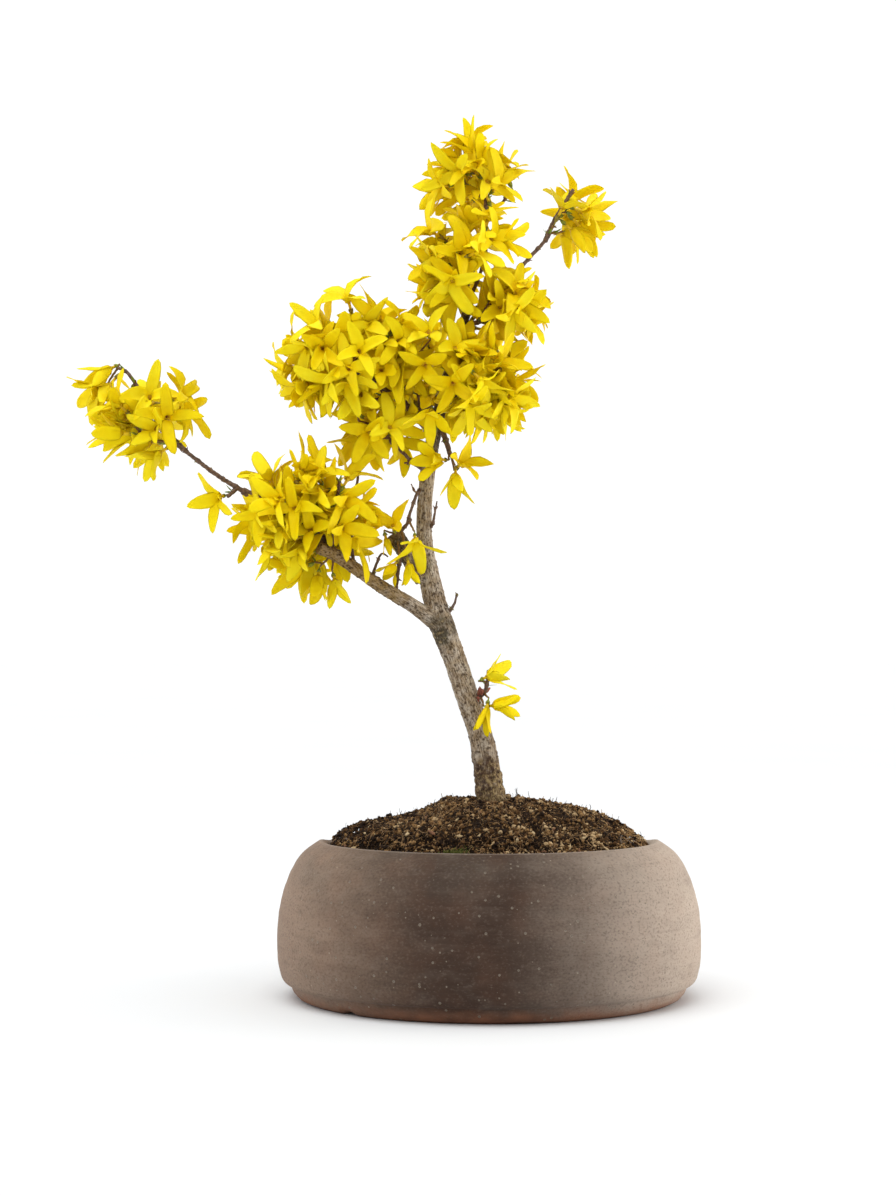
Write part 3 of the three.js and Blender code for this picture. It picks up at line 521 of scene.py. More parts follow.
@dataclass
class Growth:
    """Grows every mass of blossom in order, each clear of the limbs and of those before it."""

    twig: TwigRule = TwigRule()
    flower: FlowerRule = FlowerRule()
    clear: Clearance = Clearance()
    finer: FinerRule = FinerRule()
    limb_steps: int = 2
    masses: dict = field(default_factory=dict)

    def __post_init__(self) -> None:
        """Cut the limbs into straight stretches."""
        starts, ends, radii = [], [], []
        for limb in LIMBS.values():
            line = smooth(limb.route, self.limb_steps)
            starts.append(line[:-1])
            ends.append(line[1:])
            radii.append(spread_over(limb.radius, self.limb_steps)[:-1])
        self.limb_from, self.limb_to = np.concatenate(starts), np.concatenate(ends)
        self.limb_radius = np.concatenate(radii)

    def grow(self) -> dict[str, Mass]:
        """Grow all the masses, then their finer twigs.

        Returns:
            Each mass by its name.
        """
        for name, plan in MASSES.items():
            near = self.limbs_near(plan)
            dice = Dice(plan.seeds[0])
            axes = self.grow_twigs(plan, dice, near)
            places = self.bud_places(axes, dice)
            others = self.flowers_but([])
            flowers = [self.set_flower(flower, axes[0]) for flower in SET_FLOWERS.get(name, ())]
            axes = (axes[:1] if name in ALONE else axes) + [flower.axis for flower in flowers]
            if name not in ALONE:
                self.grow_flowers(plan, places, near, flowers, others, plan.flowers, self.flower.apart, 0)
            self.masses[name] = Mass(plan, axes, flowers)
        for name, mass in self.masses.items():
            if name not in ALONE:
                self.grow_finer(mass)
            log.info("%s: %d axes, %d flowers", name, len(mass.axes), len(mass.flowers))
        return self.masses

    def limbs_near(self, plan: MassPlan) -> Array:
        """Return which stretches of limb lie near a mass."""
        centre = np.array(plan.centre)
        distance = np.minimum(np.linalg.norm(self.limb_from - centre, axis=1),
                              np.linalg.norm(self.limb_to - centre, axis=1))
        return np.flatnonzero(distance < max(plan.reach) + self.clear.limbs_near)

    @staticmethod
    def space_share(plan: MassPlan, points: Array) -> Array:
        """Return how far out points are in a mass's space: 0 at its centre and 1 at its edge."""
        return np.linalg.norm((points - np.array(plan.centre)) / np.array(plan.reach), axis=-1)

    def twig_line(self, plan: MassPlan, near: Array, point: Array, heading: Array,
                  length: float) -> Array | None:
        """Draw a twig, shortened as far as it needs.

        Args:
            plan: The mass that it grows in.
            near: The stretches of limb to keep clear of.
            point: Where it roots.
            heading: Its direction.
            length: Its full length.

        Returns:
            Its line, or None where no length keeps it in its space and clear of the limbs.
        """
        rule = self.twig
        for shrink in rule.shrinks:
            reach = length * shrink
            tip = point + heading * reach + np.array([0, 0, rule.rise * reach])
            middle = point + heading * (reach / 2)
            gaps = stretch_distance(middle, tip, self.limb_from[near], self.limb_to[near])
            clear = np.all(gaps >= self.limb_radius[near] + rule.clearance)
            if self.space_share(plan, tip) <= rule.reach and clear:
                return np.array([point, middle, tip])
        return None

    def grow_twigs(self, plan: MassPlan, dice: Dice, near: Array) -> list[Axis]:
        """Grow a mass's stem, and the twigs that branch off it."""
        rule = self.twig
        stem = smooth(plan.stem, rule.stem_steps)
        length = length_of(stem)
        axes = [Axis(stem, plan.girth, rule.first_on_stem, plan.girth[0])]
        start = 0.0
        for i in range(plan.twigs):
            point, direction = point_at(stem, length * (i + dice.span(rule.place)) / plan.twigs)
            angle = rule.golden * i + dice.span(rule.sway)
            turn = rule.full_turn * dice.next()
            start = angle + turn if i == 0 else start
            angle = start if i == 0 else angle + start
            pitch = dice.span(rule.pitch)
            reach = dice.span(plan.length)
            heading = unit(branch_off(direction, angle, pitch))
            line = self.twig_line(plan, near, point, heading, reach)
            if line is not None:
                girth = (plan.girth[1] * rule.taper, rule.tip)
                axes.append(Axis(line, girth, rule.first_on_twig, rule.tip))
        return axes

    def bud_places(self, axes: list[Axis], dice: Dice) -> list[BudPlace]:
        """Set buds in pairs along each axis, each pair turned across the last, and one at its tip."""
        rule = self.twig
        places = []
        for axis in axes:
            end = length_of(axis.line)
            distance = axis.first
            turn = dice.span(rule.half_turn)
            while distance <= end:
                places += [BudPlace(axis, distance, turn), BudPlace(axis, distance, turn + math.pi)]
                axis.buds.append(distance)
                turn += math.pi / 2 + dice.span(rule.node_turn)
                distance += dice.span(rule.node_gap)
            places.append(BudPlace(axis, end, None))
        return places

    def draw_flower(self, plan: MassPlan, place: BudPlace, twin: float, dice: Dice) -> Flower:
        """Draw one try at a flower on a bud place, from the bud's own dice."""
        rule = self.flower
        point, direction = point_at(place.axis.line, place.distance)
        lift = rule.tip_lift if place.angle is None else dice.span(rule.lift)
        angle = (place.angle or 0) + dice.span(rule.sway) + twin
        droop = plan.droop * dice.span(rule.nod)
        roll = dice.span(rule.roll)
        spread = dice.span(rule.wide if dice.next() < plan.open else rule.half)
        petal = dice.span(rule.petal)
        stalk = dice.span(rule.stalk)
        heading = branch_off(direction, angle, lift)
        heading = heading + (point - np.array(plan.centre)) * (rule.outward / max(plan.reach))
        heading = unit(heading - np.array([0, 0, droop]))
        throat = point + heading * (stalk + place.axis.reach)
        return Flower(place.axis, place.distance, point, heading, throat, roll, spread, petal)

    def set_flower(self, plan: SetFlower, stem: Axis) -> Flower:
        """Set one given flower, on a short twig of its own from the nearest place on the stem."""
        heading, throat = unit(np.array(plan.heading, float)), np.array(plan.throat, float)
        u, v = frame_of(heading)
        toward = np.array(plan.toward, float)
        root = throat - heading * self.flower.set_stalk
        distances = np.arange(0, length_of(stem.line), self.flower.set_step)
        spots = [point_at(stem.line, distance)[0] for distance in distances]
        foot = min(spots, key=lambda spot: float(np.linalg.norm(spot - root)))
        line = smooth((foot, (foot + root) / 2 + heading * self.flower.set_bow, root), 3)
        axis = Axis(line, self.flower.set_girth, length_of(line) + 1, self.flower.set_girth[1])
        roll = math.atan2(toward.dot(v), toward.dot(u))
        return Flower(axis, length_of(line), root, heading, throat, roll, plan.spread, plan.petal)

    def stretches_of(self, flower: Flower) -> tuple[Array, Array]:
        """Return the centre lines of a flower's stalk and petals, as their two ends."""
        headings = flower.headings()
        starts = np.vstack([flower.root, flower.throat + headings * self.clear.petal_from])
        return starts, np.vstack([flower.throat, flower.throat + headings * flower.petal])

    def flowers_but(self, own: list[Flower]) -> tuple[Array, Array, Array] | None:
        """Gather the throats and centre lines of all flowers but a mass's own."""
        others = [flower for mass in self.masses.values() if mass.flowers is not own
                  for flower in mass.flowers]
        if not others:
            return None
        lines = [self.stretches_of(flower) for flower in others]
        throats = np.array([flower.throat for flower in others])
        return throats, np.array([a for a, _ in lines]), np.array([b for _, b in lines])

    def fits(self, flower: Flower, plan: MassPlan, near: Array, throats: list[Array],
             others: tuple[Array, Array, Array] | None, apart: float) -> bool:
        """Test whether a flower keeps inside its space, clear of limbs and clear of other flowers.

        Args:
            flower: The flower to test.
            plan: The mass that it grows in.
            near: The stretches of limb near the mass.
            throats: The throats of the mass's other flowers.
            others: The flowers of the other masses.
            apart: How far apart two throats of one mass stay.

        Returns:
            Whether it fits.
        """
        clear = self.clear
        starts, ends = self.stretches_of(flower)
        if np.any(self.space_share(plan, np.vstack([flower.throat, ends[1:]])) > 1):
            return False
        if plan.bare_front and flower.direction[1] < self.flower.facing:
            return False
        limbs = near[np.linalg.norm(self.limb_from[near] - flower.throat, axis=1) <= clear.near]
        a, b, radius = self.limb_from[limbs], self.limb_to[limbs], self.limb_radius[limbs]
        gaps = stretch_distance(starts[1:, None], ends[1:, None], a, b)
        if np.any(gaps < radius + clear.petal + clear.limb):
            return False
        stalk_from = flower.root + flower.direction * clear.stalk_from
        if np.any(stretch_distance(stalk_from, flower.throat, a, b) < radius + clear.stalk_to_limb):
            return False
        if throats and np.min(np.linalg.norm(np.array(throats) - flower.throat, axis=1)) < apart:
            return False
        if others is None:
            return True
        close = np.linalg.norm(others[0] - flower.throat, axis=1) <= clear.near
        starts, ends = starts[:, None, None], ends[:, None, None]
        gaps = stretch_distance(starts, ends, others[1][close], others[2][close])
        radii = np.array([clear.stalk] + 4 * [clear.petal])
        return not np.any(gaps < radii[:, None, None] + radii + clear.masses)

    def grow_flowers(self, plan: MassPlan, places: list[BudPlace], near: Array, flowers: list[Flower],
                     others: tuple[Array, Array, Array] | None, most: int, apart: float, shift: int) -> None:
        """Set flowers on bud places. Each bud has its own dice, so one that is skipped changes no other.

        Args:
            plan: The mass that they grow in.
            places: Its bud places.
            near: The stretches of limb near it.
            flowers: Its flowers so far, which grows.
            others: The flowers of the other masses.
            most: How many flowers it has at most.
            apart: How far apart two throats stay.
            shift: What is added to the buds' seeds.
        """
        rule = self.flower
        throats = [flower.throat for flower in flowers]
        for i, place in enumerate(places):
            dice = Dice(plan.seeds[1] * self.twig.mass_seed + (i + 1) * self.twig.bud_seed + shift)
            count = 2 if dice.next() < plan.pairs else 1
            for k in range(count):
                twin = rule.twin_sway * (k - 0.5) if count > 1 else 0
                for _ in range(rule.tries):
                    if len(flowers) >= most:
                        return
                    flower = self.draw_flower(plan, place, twin, dice)
                    if self.fits(flower, plan, near, throats, others, apart):
                        flowers.append(flower)
                        throats.append(flower.throat)
                        break

    def grow_finer(self, mass: Mass) -> None:
        """Carry a mass on to finer twigs, and set further flowers on them and on the buds left free."""
        rule, plan = self.finer, mass.plan
        near = self.limbs_near(plan)
        dice = Dice(plan.seeds[0] + rule.seed)
        finer = []
        for axis in mass.axes:
            length = length_of(axis.line)
            count = max(rule.least, round(length / rule.gap))
            for share in (np.arange(count) + rule.offset) / count:
                point, direction = point_at(axis.line, length * share)
                angle = dice.span((0, self.twig.full_turn))
                heading = unit(branch_off(direction, angle, dice.span(self.twig.pitch)))
                line = self.twig_line(plan, near, point, heading, dice.span(rule.length))
                if line is not None:
                    finer.append(Axis(line, rule.girth, rule.first, rule.girth[1], axis, length * share))
        places = self.bud_places(finer, dice)
        order = np.random.default_rng(plan.seeds[0]).permutation(len(places))
        places = [places[i] for i in order]
        most = len(mass.flowers) + plan.finer
        others = self.flowers_but(mass.flowers)
        self.grow_flowers(plan, places, near, mass.flowers, others, most, rule.apart, rule.seed)
        used = {id(flower.axis) for flower in mass.flowers}
        mass.axes += [axis for axis in finer if id(axis) in used]


# Meshes


def start(operator: Callable, name: str, **settings) -> Shape:
    """Add a primitive with nothing else selected.

    Args:
        operator: The operator that adds it.
        name: The new object's name.
        settings: The operator's own settings.

    Returns:
        The new object, which is active and selected.
    """
    bpy.ops.object.select_all(action="DESELECT")
    operator(**settings)
    shape = bpy.context.active_object
    shape.name = name
    return shape


def begin(operator: Callable, name: str, **settings) -> Shape:
    """Add a primitive as start does, put its place in its mesh, and go into edit mode by its corners."""
    shape = start(operator, name, **settings)
    bpy.ops.object.transform_apply(location=True)
    bpy.ops.object.mode_set(mode="EDIT")
    bpy.ops.mesh.select_mode(type="VERT")
    bpy.ops.mesh.select_all(action="DESELECT")
    return shape


def choose_all() -> None:
    """Select, in edit mode, the whole mesh."""
    bpy.ops.mesh.select_all(action="SELECT")


def choose(shape: Shape, test: Callable[[Vector], bool]) -> None:
    """Select, in edit mode, the corners that pass a test on their place."""
    bpy.ops.mesh.select_all(action="DESELECT")
    bpy.ops.object.mode_set(mode="OBJECT")
    for vertex in shape.data.vertices:
        vertex.select = test(vertex.co)
    bpy.ops.object.mode_set(mode="EDIT")


def leave() -> None:
    """Go back to object mode."""
    bpy.ops.object.mode_set(mode="OBJECT")


def apply_modifiers(shape: Shape) -> None:
    """Apply all the modifiers of one object."""
    bpy.ops.object.select_all(action="DESELECT")
    bpy.context.view_layer.objects.active = shape
    shape.select_set(True)
    for modifier in list(shape.modifiers):
        bpy.ops.object.modifier_apply(modifier=modifier.name)


def extrude(rise: float, grow: float) -> None:
    """Extrude what is selected along Z, and widen its end."""
    bpy.ops.mesh.extrude_region_move(TRANSFORM_OT_translate={"value": (0, 0, rise)})
    bpy.ops.transform.resize(value=(grow, grow, 1), center_override=(0, 0, 0))


def turn_on_wheel(name: str, outline: Array | list, turns: int) -> Shape:
    """Turn an outline round the Z axis.

    Args:
        name: The new object's name.
        outline: Its points as radius and height, from the axis round to the axis again.
        turns: How many steps go all the way round.

    Returns:
        The closed shape, with its faces outwards, in millimetres.
    """
    shape = begin(bpy.ops.mesh.primitive_plane_add, name, size=1)
    choose_all()
    bpy.ops.mesh.merge(type="CENTER")
    points = [Vector((radius, 0, height)) for radius, height in outline]
    for before, after in zip(points, points[1:]):
        bpy.ops.mesh.extrude_vertices_move(TRANSFORM_OT_translate={"value": after - before})
    choose_all()
    bpy.ops.mesh.spin(steps=turns, angle=2 * math.pi, center=(0, 0, 0), axis=(0, 0, 1))
    choose_all()
    bpy.ops.mesh.remove_doubles(threshold=0.01)
    bpy.ops.mesh.normals_make_consistent(inside=False)
    leave()
    return shape


def corners_of(shape: Shape) -> Array:
    """Read a mesh's corners, one a row."""
    flat = np.empty(len(shape.data.vertices) * 3)
    shape.data.vertices.foreach_get("co", flat)
    return flat.reshape(-1, 3)


def ramp(value: Array, low: float, high: float) -> Array:
    """Return how far a value has come from one end to the other, from 0 to 1."""
    return np.clip((value - low) / (high - low), 0, 1)


def set_corners(shape: Shape, corners: Array) -> None:
    """Move a mesh's corners."""
    shape.data.vertices.foreach_set("co", corners.astype(np.float32).ravel())
    shape.data.update()


def set_attribute(shape: Shape, name: str, values: Array) -> None:
    """Store a number, or a row of three, on each corner, for the materials."""
    kind, key = ("FLOAT", "value") if values.ndim == 1 else ("FLOAT_VECTOR", "vector")
    layer = shape.data.attributes.new(name, kind, "POINT")
    layer.data.foreach_set(key, values.astype(np.float32).ravel())


def shade_smooth(shape: Shape) -> None:
    """Smooth the shading of all faces."""
    shape.data.polygons.foreach_set("use_smooth", np.ones(len(shape.data.polygons), bool))


def settle(shape: Shape, slot: Slot, *nodes: str) -> None:
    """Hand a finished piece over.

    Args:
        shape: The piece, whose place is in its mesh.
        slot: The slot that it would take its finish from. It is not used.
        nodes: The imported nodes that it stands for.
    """
    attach(shape, BODY)
    if nodes:
        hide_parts(*nodes)
    log.info("%s: %d corners, %d faces", shape.name, len(shape.data.vertices), len(shape.data.polygons))


@dataclass
class Stamp:
    """A small shape that is modelled once and set many times."""

    corners: Array
    faces: list

    @classmethod
    def of(cls, shape: Shape) -> "Stamp":
        """Leave edit mode, take the shape of the object, and remove the object."""
        leave()
        stamp = cls(corners_of(shape), [tuple(face.vertices) for face in shape.data.polygons])
        bpy.data.objects.remove(shape)
        return stamp

    @classmethod
    def lump(cls, operator: Callable, offset: float, uniform: float, seed: int, **settings) -> "Stamp":
        """Model a small lump.

        Args:
            operator: The operator that adds its primitive.
            offset: How far its corners are knocked about.
            uniform: How even the knocks are.
            seed: What they are drawn from.
            settings: The operator's own settings.

        Returns:
            The lump.
        """
        shape = begin(operator, "lump", **settings)
        choose_all()
        bpy.ops.transform.vertex_random(offset=offset, uniform=uniform, seed=seed)
        return cls.of(shape)


@dataclass
class Batch:
    """Copies of small shapes, joined in one mesh."""

    corners: list = field(default_factory=list)
    faces: list = field(default_factory=list)
    slots: list = field(default_factory=list)
    count: int = 0

    def add(self, corners: Array, faces: list, slots: list | int) -> None:
        """Add one copy: its corners, its faces and their finishes."""
        self.faces += [tuple(i + self.count for i in face) for face in faces]
        self.slots += [slots] * len(faces) if isinstance(slots, int) else slots
        self.corners.append(corners)
        self.count += len(corners)

    def scatter(self, stamp: Stamp, sizes: Array, turns: Array, places: Array, slots: Array) -> None:
        """Add many copies of a shape.

        Args:
            stamp: The shape.
            sizes: The size of each copy along its own axes.
            turns: The rotation of each copy, as a matrix.
            places: The middle of each copy.
            slots: The finish of each copy.
        """
        shaped = stamp.corners[None] * sizes[:, None]
        placed = np.einsum("nij,nvj->nvi", turns, shaped) + places[:, None]
        for corners, slot in zip(placed, slots):
            self.add(corners, stamp.faces, int(slot))

    def build(self, name: str, finishes: list[Finish]) -> Shape:
        """Make the object, in metres, smoothly shaded."""
        mesh = bpy.data.meshes.new(name)
        mesh.from_pydata((np.concatenate(self.corners) * MM).tolist(), [], self.faces)
        for finish in finishes:
            mesh.materials.append(finish)
        mesh.polygons.foreach_set("material_index", np.array(self.slots, np.int32))
        mesh.update()
        shape = bpy.data.objects.new(name, mesh)
        bpy.context.scene.collection.objects.link(shape)
        shade_smooth(shape)
        return shape


def tube(line: Array, radii: Array, sides: int) -> tuple[Array, list]:
    """Shape a closed tube along a line.

    Args:
        line: The points of its centre line.
        radii: Its radius at each of them.
        sides: How many sides it has.

    Returns:
        Its corners and its faces.
    """
    steps = np.gradient(line, axis=0)
    directions = unit(steps)
    side = frame_of(directions[0])[0]
    turns = np.arange(sides) * (2 * math.pi / sides)
    rings = []
    for point, direction, radius in zip(line, directions, radii):
        side = unit(side - direction * side.dot(direction))
        other = np.cross(direction, side)
        rings.append(point + radius * (np.cos(turns)[:, None] * side + np.sin(turns)[:, None] * other))
    faces = []
    for ring in range(len(line) - 1):
        for k in range(sides):
            a, b = ring * sides + k, ring * sides + (k + 1) % sides
            faces.append((a, b, b + sides, a + sides))
    end = (len(line) - 1) * sides
    faces.append(tuple(range(sides - 1, -1, -1)))
    faces.append(tuple(range(end, end + sides)))
    return np.concatenate(rings), faces


def random_turns(draw: np.random.Generator, count: int) -> Array:
    """Draw rotations that point any way, as matrices."""
    q = unit(draw.normal(size=(count, 4)))
    w, x, y, z = q.T
    return np.stack([
        np.stack([1 - 2 * (y * y + z * z), 2 * (x * y - z * w), 2 * (x * z + y * w)], -1),
        np.stack([2 * (x * y + z * w), 1 - 2 * (x * x + z * z), 2 * (y * z - x * w)], -1),
        np.stack([2 * (x * z - y * w), 2 * (y * z + x * w), 1 - 2 * (x * x + y * y)], -1),
    ], 1)


# Materials


def linear(colour: str) -> tuple[float, float, float, float]:
    """Turn an sRGB hex colour to linear red, green, blue and alpha."""
    parts = [int(colour[i:i + 2], 16) / 255 for i in (1, 3, 5)]
    levels = [c / 12.92 if c <= 0.04045 else ((c + 0.055) / 1.055) ** 2.4 for c in parts]
    return levels[0], levels[1], levels[2], 1.0


def add_node(tree: Tree, kind: str, inputs: dict | None = None, **settings) -> bpy.types.Node:
    """Add a node.

    Args:
        tree: The nodes that it joins.
        kind: Its type, without the prefix.
        inputs: What goes into its sockets, by name or number. A socket is linked, a hex colour is turned to
            linear, and anything else is set as it is.
        settings: The node's own settings.

    Returns:
        The node.
    """
    made = tree.nodes.new("ShaderNode" + kind)
    for name, value in settings.items():
        setattr(made, name, value)
    for key, value in (inputs or {}).items():
        if isinstance(value, Socket):
            tree.links.new(value, made.inputs[key])
        else:
            made.inputs[key].default_value = linear(value) if isinstance(value, str) else value
    return made


def start_finish(name: str, roughness: float, gloss: float, glow: float = 0) -> tuple:
    """Start a material.

    Args:
        name: Its name.
        roughness: How rough it is.
        gloss: How strongly it shines.
        glow: The share of light that passes under its surface, and comes out warmer.

    Returns:
        The material, its shader and its nodes.
    """
    material = bpy.data.materials.new(name)
    material.use_nodes = True
    shader = material.node_tree.nodes["Principled BSDF"]
    values = {"Roughness": roughness, "Specular IOR Level": gloss}
    if glow:
        values |= {"Subsurface Weight": glow, "Subsurface Radius": (1.0, 0.7, 0.1), "Subsurface Scale": MM}
    for key, value in values.items():
        shader.inputs[key].default_value = value
    return material, shader, material.node_tree


def patches(tree: Tree, grain: float, detail: float = 3, stretch: tuple = (1, 1, 1),
            place: Socket | None = None) -> Socket:
    """Spread soft patches over a surface, from 0 to 1.

    Args:
        tree: The material's nodes.
        grain: How many millimetres across a patch is.
        detail: How far the patches break up into finer ones.
        stretch: How many times narrower they are along each axis.
        place: The piece's own coordinates in millimetres, where the pattern follows them.

    Returns:
        The pattern.
    """
    size = MM if place is None else 1
    if place is None:
        place = add_node(tree, "TexCoord").outputs["Object"]
    squeezed = add_node(tree, "Mapping", {"Vector": place, "Scale": stretch}).outputs["Vector"]
    inputs = {"Vector": squeezed, "Scale": 1 / (grain * size), "Detail": detail}
    return add_node(tree, "TexNoise", inputs).outputs["Fac"]


def lay(tree: Tree, under: Socket | str, over: Socket | str, pattern: Socket, low: float = 0,
        high: float = 1, most: float = 1) -> Socket:
    """Lay one colour over another where a pattern is high.

    Args:
        tree: The material's nodes.
        under: The colour below.
        over: The colour on top.
        pattern: What says where the colour on top shows.
        low: The pattern's value where it starts to show.
        high: The pattern's value where it shows the most.
        most: How much it shows there.

    Returns:
        The colour.
    """
    inputs = {"Value": pattern, "From Min": low, "From Max": high, "To Max": most}
    share = add_node(tree, "MapRange", inputs).outputs["Result"]
    return add_node(tree, "Mix", {0: share, 6: under, 7: over}, data_type="RGBA").outputs[2]


def lay_all(tree: Tree, tone: Socket | str, *layers: tuple) -> Socket:
    """Lay colours over a tone in order, each given with its pattern as lay takes them."""
    for layer in layers:
        tone = lay(tree, tone, *layer)
    return tone


def shift(tree: Tree, pattern: Socket, place: Socket, ends: tuple, operation: str, most: float = 1) -> Socket:
    """Change a pattern gradually along an axis.

    Args:
        tree: The material's nodes.
        pattern: The pattern.
        place: The place along the axis.
        ends: Where the change starts and where it is complete, in millimetres.
        operation: ADD to raise the pattern there, or MULTIPLY to keep it there alone.
        most: What is added, or multiplied by, where the change is complete.

    Returns:
        The changed pattern.
    """
    inputs = {"Value": place, "From Min": ends[0] * MM, "From Max": ends[1] * MM, "To Max": most}
    share = add_node(tree, "MapRange", inputs).outputs["Result"]
    return add_node(tree, "Math", {0: share, 1: pattern}, operation=operation).outputs[0]


@dataclass(frozen=True)
class Mottled:
    """A finish of two tones in soft patches, with a fine relief.

    grain is the size of the patches, relief the height of the bumps, both in millimetres. glow is the share
    of light that passes under the surface, as it does in a petal.
    """

    name: str
    dark: str
    light: str
    grain: float
    roughness: float
    relief: float = 0.05
    gloss: float = 0.5
    glow: float = 0.0

    def build(self) -> Finish:
        """Make the material."""
        material, shader, tree = start_finish(self.name, self.roughness, self.gloss, self.glow)
        tone = lay(tree, self.dark, self.light, patches(tree, self.grain), 0.32, 0.68)
        tree.links.new(tone, shader.inputs["Base Color"])
        inputs = {"Height": patches(tree, self.grain / 3), "Distance": self.relief * MM}
        tree.links.new(add_node(tree, "Bump", inputs).outputs["Normal"], shader.inputs["Normal"])
        return material


def finishes_of(*rows: tuple) -> list[Finish]:
    """Make mottled finishes, each given as a row of what Mottled takes."""
    return [Mottled(*row).build() for row in rows]


@dataclass(frozen=True)
class Stoneware:
    """Unglazed stoneware, thrown on the wheel and fired in reduction, which leaves it matt and brown-grey.

    The clay carries painted shade, darkest at the front and back, and painted light on its flanks, lightest
    on the right. It has pale grog and dark pits, whose colour is painted shade in their hollows, faint turned
    lines round it, a greyer cloud here and there, rust at the foot and a painted highlight along the top of
    the lip.

    painted_light_left and painted_light_right hold between which shares of its radius the painted light on
    its left and right flanks sets in, and drift how far that wanders. smoke holds the heights over which the
    grey cloud gathers. gap is how far apart specks could lie, speck a large one's radius as a share of it,
    and show how strongly specks of grog and pits show. rim holds the heights of the painted highlight along
    the top of the lip.
    """

    name: str = "thrown_stoneware"
    # Painted shade and light: dark is the clay at the front and back, left and right the painted light on the
    # flanks.
    dark: str = "#3e2e25"
    left: str = "#9b8573"
    right: str = "#beae9f"
    painted_light_left: tuple = (-0.2, -1.2)
    painted_light_right: tuple = (0, 1.1)
    grey: str = "#6b675e"
    shadow: str = "#3d3029"
    chalk: str = "#a4968a"
    rust: str = "#94644a"
    grog: str = "#cfc1ae"
    # pit is the colour of painted shade in the pits' hollows.
    pit_shade: str = "#2a211b"
    radius: float = 105
    drift: float = 0.05
    cloud: float = 30
    smoke: tuple = (38, 62)
    mottle: float = 15
    turned_line: float = 1.8
    grit: float = 0.95
    relief: float = 0.3
    gap: float = 3
    speck: tuple = (0.25, 0.22)
    show: tuple = (0.5, 0.55)
    pit_depth: float = 0.35
    rust_patch: tuple = (16, 14)
    rust_top: float = 11
    # rim holds the heights of a painted highlight along the top of the lip.
    rim: tuple = (76.3, 76.8)
    roughness: float = 0.8
    gloss: float = 0.2

    def build(self) -> Finish:
        """Make the material."""
        material, shader, tree = start_finish(self.name, self.roughness, self.gloss)
        place = add_node(tree, "TexCoord").outputs["Object"]
        axes = add_node(tree, "SeparateXYZ", {"Vector": place}).outputs
        inputs = {"Value": patches(tree, self.cloud, 4, (1, 1, 2)), "From Min": 0.3, "From Max": 0.7,
                  "To Min": -self.drift, "To Max": self.drift}
        drift = add_node(tree, "MapRange", inputs).outputs["Result"]
        inputs = {0: axes["X"], 1: 1 / (self.radius * MM), 2: drift}
        side = add_node(tree, "Math", inputs, operation="MULTIPLY_ADD").outputs[0]
        tone = self.dark
        # Painted light and shade: darkest at the front and back, lighter to the left, lightest to the right.
        for lit_tone, ends in ((self.left, self.painted_light_left), (self.right, self.painted_light_right)):
            inputs = {"Value": side, "From Min": ends[0], "From Max": ends[1]}
            lit_flank = add_node(tree, "MapRange", inputs, interpolation_type="SMOOTHSTEP").outputs["Result"]
            tone = lay(tree, tone, lit_tone, lit_flank)
        smoke = shift(tree, patches(tree, self.cloud, 2, (1, 1, 2)), axes["Z"], self.smoke, "MULTIPLY")
        mottle = patches(tree, self.mottle, 2, (1, 1, 2.4))
        lines = patches(tree, self.turned_line, 3, (0.04, 0.04, 1))
        grit = patches(tree, self.grit, 3, (0.7, 0.7, 1))
        blush, foot = self.rust_patch
        rust = shift(tree, patches(tree, foot, 3, (1, 1, 2)), axes["Z"], (self.rust_top, 1), "MULTIPLY")
        tone = lay_all(
            tree, tone, (self.grey, smoke, 0.3, 0.85, 0.3),
            (self.shadow, mottle, 0.5, 0.25, 0.16), (self.chalk, mottle, 0.5, 0.75, 0.08),
            (self.shadow, lines, 0.55, 0.85, 0.18), (self.chalk, lines, 0.45, 0.15, 0.04),
            (self.shadow, grit, 0.52, 0.68, 0.38), (self.chalk, grit, 0.46, 0.3, 0.1),
            (self.rust, patches(tree, blush, 3), 0.45, 0.8, 0.09), (self.rust, rust, 0.15, 0.6, 0.7),
            # A painted highlight: lighter clay along the top of the lip.
            (self.chalk, axes["Z"], self.rim[0] * MM, self.rim[1] * MM, 0.3))
        # Pale grog, then pits darkened with painted shade.
        for colour, reach, strength in zip((self.grog, self.pit_shade), self.speck, self.show):
            tone, specks = self.speckle(tree, tone, colour, reach, strength)
        tree.links.new(tone, shader.inputs["Base Color"])
        under = {}
        for pattern, depth, sunk in ((grit, self.relief, False), (lines, self.relief, False),
                                     (specks, self.pit_depth, True)):
            inputs = {"Height": pattern, "Distance": depth * MM, **under}
            under = {"Normal": add_node(tree, "Bump", inputs, invert=sunk).outputs["Normal"]}
        tree.links.new(under["Normal"], shader.inputs["Normal"])
        return material

    def speckle(self, tree: Tree, tone: Socket, colour: str, reach: float,
                strength: float) -> tuple[Socket, Socket]:
        """Sprinkle specks of their own sizes over the clay.

        Args:
            tree: The material's nodes.
            tone: The clay's colour.
            colour: The specks' colour.
            reach: The largest speck's radius, as a share of the gap.
            strength: How strongly they show.

        Returns:
            The new colour, and the pattern of the specks.
        """
        place = add_node(tree, "TexCoord").outputs["Object"]
        cells = add_node(tree, "TexVoronoi", {"Vector": place, "Scale": 1 / (self.gap * MM)}).outputs
        drawn = add_node(tree, "SeparateColor", {"Color": cells["Color"]}).outputs["Red"]
        inputs = {"Value": drawn, "From Min": 0.5, "From Max": 0.95, "To Max": reach}
        size = add_node(tree, "MapRange", inputs).outputs["Result"]
        inputs = {0: size, 1: cells["Distance"]}
        inside = add_node(tree, "Math", inputs, operation="SUBTRACT").outputs[0]
        inputs = {"Value": inside, "From Min": 0.0, "From Max": 0.05}
        specks = add_node(tree, "MapRange", inputs).outputs["Result"]
        return lay(tree, tone, colour, specks, most=strength), specks


